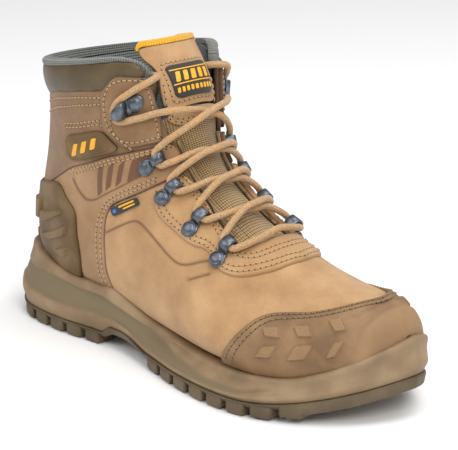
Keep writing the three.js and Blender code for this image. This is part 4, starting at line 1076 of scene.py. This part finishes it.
# the patch goes on below the fold as a fixed foot, stitched to the woven base
FOOT_TOP = TONGUE_FRONT + 1.5
PATCH_FOOT = unfold([(10.7, 0), (10.72, -13), (10.9, -21), (11.2, -26), (FOLD + 0.03, -27.5),
                     (FOLD + 0.03, 0)])
cut_panel("tongue_patch_foot", PATCH_FOOT, TONGUE_FRONT - 0.4, FOOT_TOP, nubuck, pitch=1.8, corner=2,
          roll=0.7, slot="nubuck")
sew("tongue_foot", [[(10.84, 0), (10.86, -13), (11.02, -20.5), (11.3, -24.5)],
                    [(10.98, 0), (11.0, -12), (11.14, -19), (11.38, -22.5)]], FOOT_TOP, pale_thread)
yellow_tape = woven_cloth("yellow_binding_tape", "#c98f0c", "#f8bd2c", 1.0, roughness=0.75, rib=2.0)
PULL_TAPE = unfold(TONGUE_HALF[5:][::-1] + [(15.15, -39.5), (15.5, -38), (15.78, -33), (15.84, 0)])
cut_panel("tongue_binding_tape", PULL_TAPE, tongue_layer(PAD_FRONT + PAD_DEPTH), tongue_layer(-0.5),
          yellow_tape, roll=1.6, pitch=1.5, corner=1.5, body="tongue_top", replaces=["tongue_pull_tape"],
          slot="yellow_webbing")

# ---- Collar ----
# Smooth olive leather over 8 mm foam, puffed between its two seams, and a grey knit lining rolled
# over the top edge.
COLLAR_ROLL = [(14.73, -180), (14.73, -50), (14.56, -42), (14.26, -36.5), (13.82, -34), (13.5, -34)]


def smooth_leather(name, dark, middle, light):
    """Drum-dyed smooth leather: fine pebble grain with a low gloss."""
    hide, shader, place = finish(name, 0.48, Coat_Weight=0.08)
    cloud = add(hide, "TexNoise", Vector=place, Scale=35.0, Detail=4.0)
    tone = ramp(hide, cloud.outputs["Fac"], (0.3, dark), (0.5, middle), (0.72, light))
    hide.node_tree.links.new(tone.outputs[0], shader.inputs["Base Color"])
    pebble = add(hide, "TexVoronoi", Vector=place, Scale=850.0, settings={"feature": "SMOOTH_F1"})
    fine = add(hide, "TexNoise", Vector=place, Scale=500.0, Detail=5.0)
    both = add(hide, "Math", settings={"operation": "ADD"}, i0=pebble.outputs["Distance"],
               i1=fine.outputs["Fac"])
    add(hide, "Bump", (shader, "Normal"), Strength=0.28, Distance=0.0004, Height=both.outputs[0])
    return hide


def between(value, low, high):
    t = np.clip((value - low) / (high - low), 0, 1)
    return np.sin(np.pi * t) ** 0.6


def collar_puff(s, a):
    """Full at the back and sides, thin where the eyelet panel covers it in front."""
    around = turned(a)
    foot = np.interp(around, [34, 65, 83, 109, 180], [13.5, 13.55, 13.83, 14.05, 14.1])
    swell = 0.5 + 1.9 * smooth(around, 66, 90)
    return swell * between(s, foot, 14.85) - 0.4


collar_hide = smooth_leather("olive_collar_leather", "#423317", "#524122", "#655331")
TUCK = 0.13  # stations of leather that the seams take in, above and below
collar_outline = unfold([(s + TUCK, -a - 0.8 if a > -60 else -a) for s, a in COLLAR_ROLL[:-1]]
                        + [(s - TUCK, -a) for s, a in COLLAR_FOOT], 180)
collar = cut_panel("collar_pad_leather", collar_outline, -LEATHER, collar_puff, collar_hide, roll=1.4,
                   pitch=2.2, corner=3, replaces=["collar_pad"], slot="collar_leather")


AIR_STEPS = 20


def swell_by_air(made, voxel, pressure, cap):
    """Remeshes a stuffed piece and blows it up as cloth. No point moves further than the cap."""
    bpy.context.view_layer.objects.active = made
    remesh = made.modifiers.new("voxels", "REMESH")
    remesh.mode, remesh.voxel_size, remesh.use_smooth_shade = "VOXEL", voxel / 1000, True
    bpy.ops.object.modifier_apply(modifier="voxels")
    count = len(made.data.vertices) * 3
    start, end = np.empty(count), np.empty(count)
    made.data.vertices.foreach_get("co", start)
    cloth = made.modifiers.new("air", "CLOTH")
    cloth.settings.use_pressure = True
    cloth.settings.uniform_pressure_force = pressure
    cloth.settings.effector_weights.gravity = 0
    for step in range(1, AIR_STEPS + 1):
        bpy.context.scene.frame_set(step)
    blown = made.evaluated_get(bpy.context.evaluated_depsgraph_get()).data
    blown.vertices.foreach_get("co", end)
    made.modifiers.remove(cloth)
    bpy.context.scene.frame_set(1)
    moved = (end - start).reshape(-1, 3)
    length = np.linalg.norm(moved, axis=1, keepdims=True) + 1e-9
    moved *= np.minimum(length, cap / 1000) / length
    made.data.vertices.foreach_set("co", start + moved.ravel())
    finer = made.modifiers.new("finer", "SUBSURF")
    finer.levels = finer.render_levels = 1
    bpy.ops.object.modifier_apply(modifier="finer")


swell_by_air(collar, voxel=2.0, pressure=4, cap=1.6)
lining_outline = unfold([(15, 180), (15, 54), (14.85, 44), (14.5, 36), (14, 31.5), (13.5, 31)]
                        + turned_over(COLLAR_ROLL)[::-1], 180)
LINING = 3  # thickness
cut_panel("collar_lining_roll", lining_outline, -LEATHER - LINING - GAP, 0.9, knit_lining, roll=2.2,
          pitch=1.5, corner=2, replaces=["collar_lining"], slot="grey_textile")

# ---- Lining, stiffeners and toe cap ----
# The inside: a padded knit bootie in two parts, the pressed steel cap with its foam bead, the heel
# stiffener, the woven puncture plate and the lasting board.
CAP_STEEL, BOARD, PLATE = 1.8, 1.8, 1.6
CAP_TOP = -LEATHER - 1
BOARD_TOP = CAP_TOP - PLATE - GAP


def lining_top(s, a):
    toe = 1 - smooth(s, 5.7, 6.6)
    heel = smooth(turned(a), 84, 98) * (1 - smooth(s, 13.9, 14.4)) * smooth(s, 8, 8.8)
    under = smooth(turned(a), 128, 142) * (1 - smooth(s, 10.1, 10.6))
    return CAP_TOP - 0.4 - np.maximum((CAP_STEEL + GAP) * np.maximum(toe, heel),
                                      (PLATE + BOARD + GAP * 2) * under)


def lining_low(s, a):
    return lining_top(s, a) - LINING


cap_steel, shader, place = finish("pressed_cap_steel", 0.35, Metallic=1.0)
mill = add(cap_steel, "TexNoise", Vector=place, Scale=300.0, Detail=5.0)
ramp(cap_steel, mill.outputs["Fac"], (0.3, "#85888c"), (0.7, "#aeb1b5"), into=(shader, "Base Color"))
add(cap_steel, "Bump", (shader, "Normal"), Strength=0.15, Distance=0.0002, Height=mill.outputs["Fac"])
fibre_board, shader, place = finish("fibre_board", 0.95)
pulp = add(fibre_board, "TexNoise", Vector=place, Scale=800.0, Detail=5.0)
ramp(fibre_board, pulp.outputs["Fac"], (0.3, "#8a7855"), (0.7, "#b3a07a"), into=(shader, "Base Color"))
add(fibre_board, "Bump", (shader, "Normal"), Strength=0.4, Distance=0.0004, Height=pulp.outputs["Fac"])
CAP_EDGE = [(4.2, 0), (4.3, -30), (4.6, -60), (5, -90), (5.07, -120)]
UNDERFOOT = unfold([(0.6, 180), (0.6, 156), (8, 152), (9.2, 160), (9.8, 180)], 180)
for name, outline, low, high, material, node, slot_name in [
        ("toe_cap_pressing", unfold(CAP_EDGE + [(5.1, -140), (0.06, -140)]), CAP_TOP - CAP_STEEL, CAP_TOP,
         cap_steel, "toe_cap", "cap_steel"),
        ("toe_cap_bead", unfold([(4.65, 0), (4.75, -30), (5.05, -60), (5.5, -90), (5.55, -120)]
                                + CAP_EDGE[::-1]), CAP_TOP - CAP_STEEL, CAP_TOP, pad_foam,
         "toe_cap_edge_pad", "soft_foam"),
        ("heel_stiffener_shell", unfold([(10.4, 180), (9.9, 166), (9.35, 148), (9.3, 130), (9.9, 110),
                                         (10.9, 104), (11.5, 120), (11.9, 180)], 180),
         CAP_TOP - CAP_STEEL, CAP_TOP, fibre_board, "heel_stiffener", "fibre_board"),
        ("puncture_plate_weave", UNDERFOOT, CAP_TOP - PLATE, CAP_TOP, knit_lining, "puncture_plate",
         "grey_textile"),
        ("lasting_board", UNDERFOOT, BOARD_TOP - BOARD, BOARD_TOP, fibre_board, "insole_board",
         "fibre_board"),
        ("vamp_lining_knit", unfold([(5.2, 0), (5.3, -24), (6, -42), (6.2, -60), (6.2, -179.5),
                                     (0.1, -179.5)]), lining_low, lining_top, knit_lining, "vamp_lining",
         "grey_textile"),
        ("quarter_lining_knit", unfold([(6.24, 180), (6.24, 46), (13.4, 46), (14.5, 48), (14.7, 60),
                                        (14.7, 180)], 180), lining_low, lining_top, knit_lining,
         "quarter_lining", "grey_textile")]:
    cut_panel(name, outline, low, high, material, pitch=3.2, roll=0.8, corner=2, replaces=[node],
              slot=slot_name)

# ---- Midsole ----
# Direct-injected polyurethane cupped round the upper. A rounded lip runs along the top; under it a
# shallow band sweeps from a pocket at the heel, over the arch, to a thin wedge by the ball.
OUTER_EDGE = [(-2, 0), (1, -17), (9, -31), (27, -42), (60, -45.5), (92, -43), (122, -44), (150, -50),
              (180, -58), (212, -62), (238, -60), (262, -50), (283, -34), (297, -18), (306, 0), (309, 10)]
INNER_EDGE = [(-2, 4), (2, 15), (12, 28), (30, 37), (60, 40), (90, 38), (120, 37), (150, 39), (180, 45),
              (210, 51), (235, 54), (260, 53), (280, 46), (295, 35), (305, 23), (309, 12)]
WALL_TOP = [(-4, 47), (30, 43), (60, 38), (90, 38), (104, 40), (124, 34), (146, 27), (178, 24),
            (206, 23), (240, 23), (264, 26), (284, 35), (300, 45), (312, 52)]
COLUMNS = 230  # down each side
LUG, WEB = 5, 8.5  # depth of a lug, and height of the top of the outsole


def spline(controls, t):
    """A smooth line through control values, t from 0 to the last control."""
    c = np.asarray(controls, float)
    i = np.clip(np.floor(t).astype(int), 0, len(c) - 2)
    t = (t - i).reshape(t.shape + (1,) * (c.ndim - 1))
    a, b, d, e = (c[np.clip(i + k, 0, len(c) - 1)] for k in (-1, 0, 1, 2))
    return b + 0.5 * t * (d - a + t * (2 * a - 5 * b + 4 * d - e + t * (3 * (b - d) + e - a)))


def sole_side(edge):
    dense = spline(edge, np.linspace(0, len(edge) - 1, 1200))
    run = np.concatenate([[0], np.cumsum(np.linalg.norm(np.diff(dense, axis=0), axis=1))])
    want = np.linspace(0, run[-1], COLUMNS)
    return np.stack([np.interp(want, run, dense[:, k]) for k in (0, 1)], 1)


outer_line, inner_line = sole_side(OUTER_EDGE), sole_side(INNER_EDGE)
rim = np.vstack([outer_line, inner_line[::-1]])  # anticlockwise, seen from above
tangent = np.roll(rim, -2, 0) - np.roll(rim, 2, 0)
tangent /= np.linalg.norm(tangent, axis=1, keepdims=True)
outward = np.stack([tangent[:, 1], -tangent[:, 0]], 1)
wall_line = spline(WALL_TOP, np.linspace(0, len(WALL_TOP) - 1, 400))


def toe_spring(x):
    return 17 * np.maximum((x - 232) / 77, 0) ** 2 + 3 * np.maximum(1 - np.maximum(x, 0) / 22, 0) ** 2


def arch(x):
    return 5.2 * smooth(x, 97, 107) * (1 - smooth(x, 114, 148))


def midsole_foot(x):
    return WEB + GAP + toe_spring(x) + arch(x)


rim_x = rim[:, 0]
low, high = midsole_foot(rim_x), np.interp(rim_x, *wall_line.T)


def surface_of(names):
    """The faces of several pieces as one surface that rays can meet."""
    corners, polygons = [], []
    for name in names:
        mesh = bpy.data.objects[name].data
        polygons += [[v + len(corners) for v in p.vertices] for p in mesh.polygons]
        corners += [v.co.copy() for v in mesh.vertices]
    return BVHTree.FromPolygons(corners, polygons)


upper_surface = surface_of(["vamp_nubuck", "toe_bumper_moulding", "heel_counter_moulding",
                            "ankle_band_nubuck_lateral", "ankle_band_nubuck_medial"])
OUTSIDE, DEEPEST = 30, 18.0  # where a ray starts outside the rim, and the reach where it meets nothing


def reach_in(heights):
    """Distance from the rim in to the upper, in millimetres, at one height for each place."""
    found = np.full(len(rim), DEEPEST)
    for k, ((x, y), (nx, ny), z) in enumerate(zip(rim, outward, heights)):
        start = Vector(to_frame([x + nx * OUTSIDE, y + ny * OUTSIDE, z]))
        hit = upper_surface.ray_cast(start, Vector((-nx, -ny, 0)), 0.05)
        if hit[0]:
            found[k] = hit[3] * 1000 - OUTSIDE
    return found


def around_rim(values, take, window):
    """A running least, greatest or mean round the rim."""
    return take([np.roll(values, k) for k in range(-window, window + 1)], axis=0)


top_hit = reach_in(high - 1.0)
lip_inner = around_rim(around_rim(top_hit, np.max, 4), np.mean, 4) + 0.9
lip_outer = around_rim(np.clip(around_rim(top_hit, np.min, 4) - 2.6, -3, 9), np.mean, 5)
BAND_TOP = [(0, 33), (20, 34), (50, 33), (75, 31), (98, 32), (125, 27), (150, 21.5), (178, 17.8),
            (206, 15.6), (235, 15.4), (258, 19)]
BAND_FOOT = [(0, 27), (20, 22), (50, 19), (75, 19.5), (98, 20.5), (125, 17), (150, 13.6), (178, 12.2),
             (206, 11.9), (235, 13.0), (258, 18.7)]
WALL_ROWS, LIP_HEIGHT = 34, 3.0
share = np.linspace(0, 1, WALL_ROWS)[:, None]
z_rows = low + 0.9 + (high - LIP_HEIGHT - low - 0.9) * share
level_rim = np.ones(len(rim))
belly = np.array([1.2 * level_rim, -0.9 * level_rim, -0.5 + 0.12 * lip_outer, 0.55 * lip_outer + 0.2,
                  lip_outer])
inset = spline(belly, share[:, 0] * 4)
band_top_z, band_foot_z = (np.interp(rim_x, *np.array(b).T) for b in (BAND_TOP, BAND_FOOT))
fade = smooth(rim_x, -4, 14) * (1 - smooth(rim_x, 246, 258))
pocket = (smooth(z_rows, band_foot_z - 0.5, band_foot_z + 0.9)
          * (1 - smooth(z_rows, band_top_z - 1.6, band_top_z + 1.4))) * fade
inset = inset + 2.0 * pocket
# the crease that leaves the lip by the ball and becomes the moulding line over the outsole
crease_z = np.interp(rim_x, [150, 163, 178, 195, 215, 240, 262, 285],
                     [24, 22.2, 17.6, 14.2, 13.1, 13.3, 17.8, 25])
step = (smooth(z_rows, crease_z - 0.45, crease_z + 0.45) * smooth(rim_x, 152, 166)
        * (1 - smooth(rim_x, 252, 268)))
inset = inset + 1.1 * step * (1 - smooth(z_rows, crease_z + 2.5, crease_z + 6))
# rows of the wall: distance in from the rim, and height
rows = [(9.0, low), (2.4, low), (1.5, low + 0.35)]
marks = np.zeros((3 + WALL_ROWS + 10, len(rim)))
marks[3:3 + WALL_ROWS] = pocket
rows += list(zip(inset, z_rows))
ROUND = 2.4
for a in np.radians([20, 42, 66, 90]):
    rows.append((lip_outer + ROUND * (1 - np.cos(a)), high - LIP_HEIGHT + ROUND * np.sin(a) * 1.1))
rows.append((np.maximum(lip_inner - 0.9, lip_outer + ROUND + 0.1), high - 0.45))
rows.append((np.maximum(lip_inner, lip_outer + ROUND + 0.4), high - 1.6))
for part_down in (0.72, 0.46, 0.22, 0.0):
    z = 13.2 + toe_spring(rim_x) + (high - 1.6 - 13.2 - toe_spring(rim_x)) * part_down
    hit = around_rim(around_rim(reach_in(z), np.max, 3), np.mean, 4)
    rows.append((np.maximum(np.minimum(hit + 0.8, 17), 6), z))


def wall_points(rows):
    """Corners round the rim for each row."""
    return np.array([np.column_stack([rim - outward * np.broadcast_to(g, len(rim))[:, None],
                                      np.broadcast_to(z, len(rim))]) for g, z in rows])


def cup_faces(rows_count):
    """Walls round the rim, closed underneath and on top by strips from side to side."""
    n = 2 * COLUMNS
    k = np.arange(n)
    faces = [(r * n + a, r * n + b, (r + 1) * n + b, (r + 1) * n + a)
             for r in range(rows_count - 1) for a, b in zip(k, np.roll(k, -1))]
    for r, flip in ((0, True), (rows_count - 1, False)):
        for i in range(COLUMNS - 1):
            strip = [r * n + i, r * n + i + 1, r * n + n - 2 - i, r * n + n - 1 - i]
            faces.append(tuple(strip[::-1] if flip else strip))
    return faces


midsole_foam = moulded_rubber("injected_polyurethane", "#7f6a4e", "#8f775a", "#9f8768", roughness=0.66,
                              leathery=0.1, grain=0.8)
foam_colour = midsole_foam.node_tree.nodes["Principled BSDF"].inputs["Base Color"]
pocket_mark = add(midsole_foam, "Attribute", settings={"attribute_name": "pocket"})
greyed = add(midsole_foam, "Mix", settings={"data_type": "RGBA"}, i0=pocket_mark.outputs["Fac"],
             i6=foam_colour.links[0].from_socket, i7=colour("#796a50"))
midsole_foam.node_tree.links.new(greyed.outputs[2], foam_colour)
piece("midsole_cup", wall_points(rows).reshape(-1, 3), cup_faces(len(rows)), midsole_foam,
      replaces=["midsole"], slot="midsole_foam",
      marks={"pocket": marks.ravel(), "edge": np.full(marks.size, 9.0)})

# ---- Outsole ----
# One moulded nitrile rubber unit bonded under the midsole. Chunky lugs with eased edges stand under
# the heel and the forefoot, the arch is hollowed, and the toe is solid.
outsole_rubber = moulded_rubber("nitrile_outsole_rubber", "#53452f", "#61523d", "#6f5f48", roughness=0.6,
                                leathery=0.22, grain=0.9)
TOE_SOLID = (258, 272)
solid_toe = smooth(rim_x, *TOE_SOLID)
web_low = LUG + 0.2 + arch(rim_x) * 0.75 - 4.4 * solid_toe + toe_spring(rim_x)
web_top = midsole_foot(rim_x) - 0.02
rows = [(9.0, web_low), (3.4, web_low), (2.4 - 0.9 * solid_toe, web_low + 0.5),
        (1.7 - solid_toe, web_low + 1.6), (1.2 - solid_toe * 0.9, (web_low + web_top) / 2),
        (0.7 - 0.9 * solid_toe, web_top - 1.3), (0.2, web_top - 0.8), (0.1, web_top - 0.25),
        (0.5, web_top), (9.0, web_top)]
points, faces = list(wall_points(rows).reshape(-1, 3)), cup_faces(len(rows))
LUG_LENGTH, LUG_PITCH, CHAMFER = 12, 16, 1.5
ARCH_HOLLOW = (96, 142)  # no lugs stand between these
LUG_COLUMNS = ((-70, -28), (-24.5, 18.5), (22, 70))


def outer_at(x):
    return np.interp(x, outer_line[:, 0], outer_line[:, 1])


def inner_at(x):
    return np.interp(x, inner_line[:, 0], inner_line[:, 1])


def area_of(loop):
    return abs(np.sum(loop[:, 0] * np.roll(loop[:, 1], -1) - loop[:, 1] * np.roll(loop[:, 0], -1)))


for x in range(3, 270, LUG_PITCH):
    if x + LUG_LENGTH > ARCH_HOLLOW[0] and x < ARCH_HOLLOW[1]:
        continue
    for y0, y1 in LUG_COLUMNS:
        across = np.linspace(x, x + LUG_LENGTH, 9)
        skew = 1.6 if y0 == -24.5 else 0
        lower = np.maximum(outer_at(across) + 0.3, y0)
        upper_y = np.minimum(inner_at(across) - 0.3, y1)
        if (upper_y - lower).min() < 4:
            continue
        outline = np.vstack([np.column_stack([across, lower]), np.column_stack([across, upper_y])[::-1]])
        outline[:, 0] += skew * np.sin(outline[:, 1] / 24.5 * np.pi)
        outline = spaced(rounded(outline, 1.1, True), 1.6, True)
        base = toe_spring(x + LUG_LENGTH / 2)
        first = len(points)
        for away, z in [(0, LUG + 3.0), (0.05, LUG - 1.2), (0.35, 1.9), (CHAMFER * 0.6, 0.6), (CHAMFER, 0.02),
                        (CHAMFER + 2.2, 0.0)]:
            ring = sideways(outline, away, True)
            if away and area_of(ring) > area_of(outline):
                ring = sideways(outline, -away, True)
            points += [np.array([px, py, z + base]) for px, py in ring]
        faces += [tuple(first + v for v in f)[::-1] for f in tube_faces(6, len(outline))]
piece("outsole_unit", np.array(points), faces, outsole_rubber, replaces=["outsole"], slot="outsole_rubber",
      marks={"edge": np.full(len(points), 9.0)})

# ---- Footbed ----
# A removable polyurethane insert with a knit cover, cupped at the heel, that lies on the lining.
lining_surface = surface_of(["quarter_lining_knit", "vamp_lining_knit"])
BED = 7  # thickness at the middle
bed_x = np.concatenate([np.linspace(0, 6, 5), np.linspace(8, 256, 84), np.linspace(258, 262, 4)]) + 27.5
bed_rings = []
for x in bed_x:
    top = np.interp(x - 4, [0, 40, 110, 190, 240, 290], [36, 35, 33, 31, 31, 34]) - 0.6
    middle_y = (outer_at(x) + inner_at(x)) / 2
    ring = []
    for z in (top, top - BED * 0.5, top - BED * 0.85):
        sides = []
        for way in (-1, 1):
            hit = lining_surface.ray_cast(Vector(to_frame([x, middle_y, z])), Vector((0, way, 0)), 0.08)
            sides.append(middle_y + way * ((hit[3] * 1000 if hit[0] else 10) - 0.8))
        ring.append((z, *sides))
    bed_rings.append(ring)
end_ease = np.sqrt(np.clip(np.minimum(bed_x - bed_x[0], bed_x[-1] - bed_x) / 5.0, 0.02, 1))
bed_points = []
for ring, ease in zip(bed_rings, end_ease):
    (z2, a2, b2), (z1, a1, b1), (z0, a0, b0) = ring
    mid, share = (a2 + b2) / 2, 0.55 + 0.45 * ease
    tops = [(mid + (b2 - a2) / 2 * 0.97 * u * share, z2 - 2.2 * (1 - u * u))
            for u in np.linspace(-1, 1, 17)]
    unders = [(mid + (y - mid) * share, z) for y, z in
              [(b2, z2 - 1.2), (b1, z1), (b0, z0), (a0, z0), (a1, z1), (a2, z2 - 1.2)]]
    bed_points.append(tops + unders)
bed_points = np.array([[(x, y, z) for y, z in ring] for x, ring in zip(bed_x, bed_points)])
bed_faces = [f[::-1] for f in tube_faces(len(bed_x), bed_points.shape[1])]
piece("footbed_insert", bed_points.reshape(-1, 3), bed_faces, knit_lining, body="footbed",
      replaces=["footbed"], slot="soft_foam")
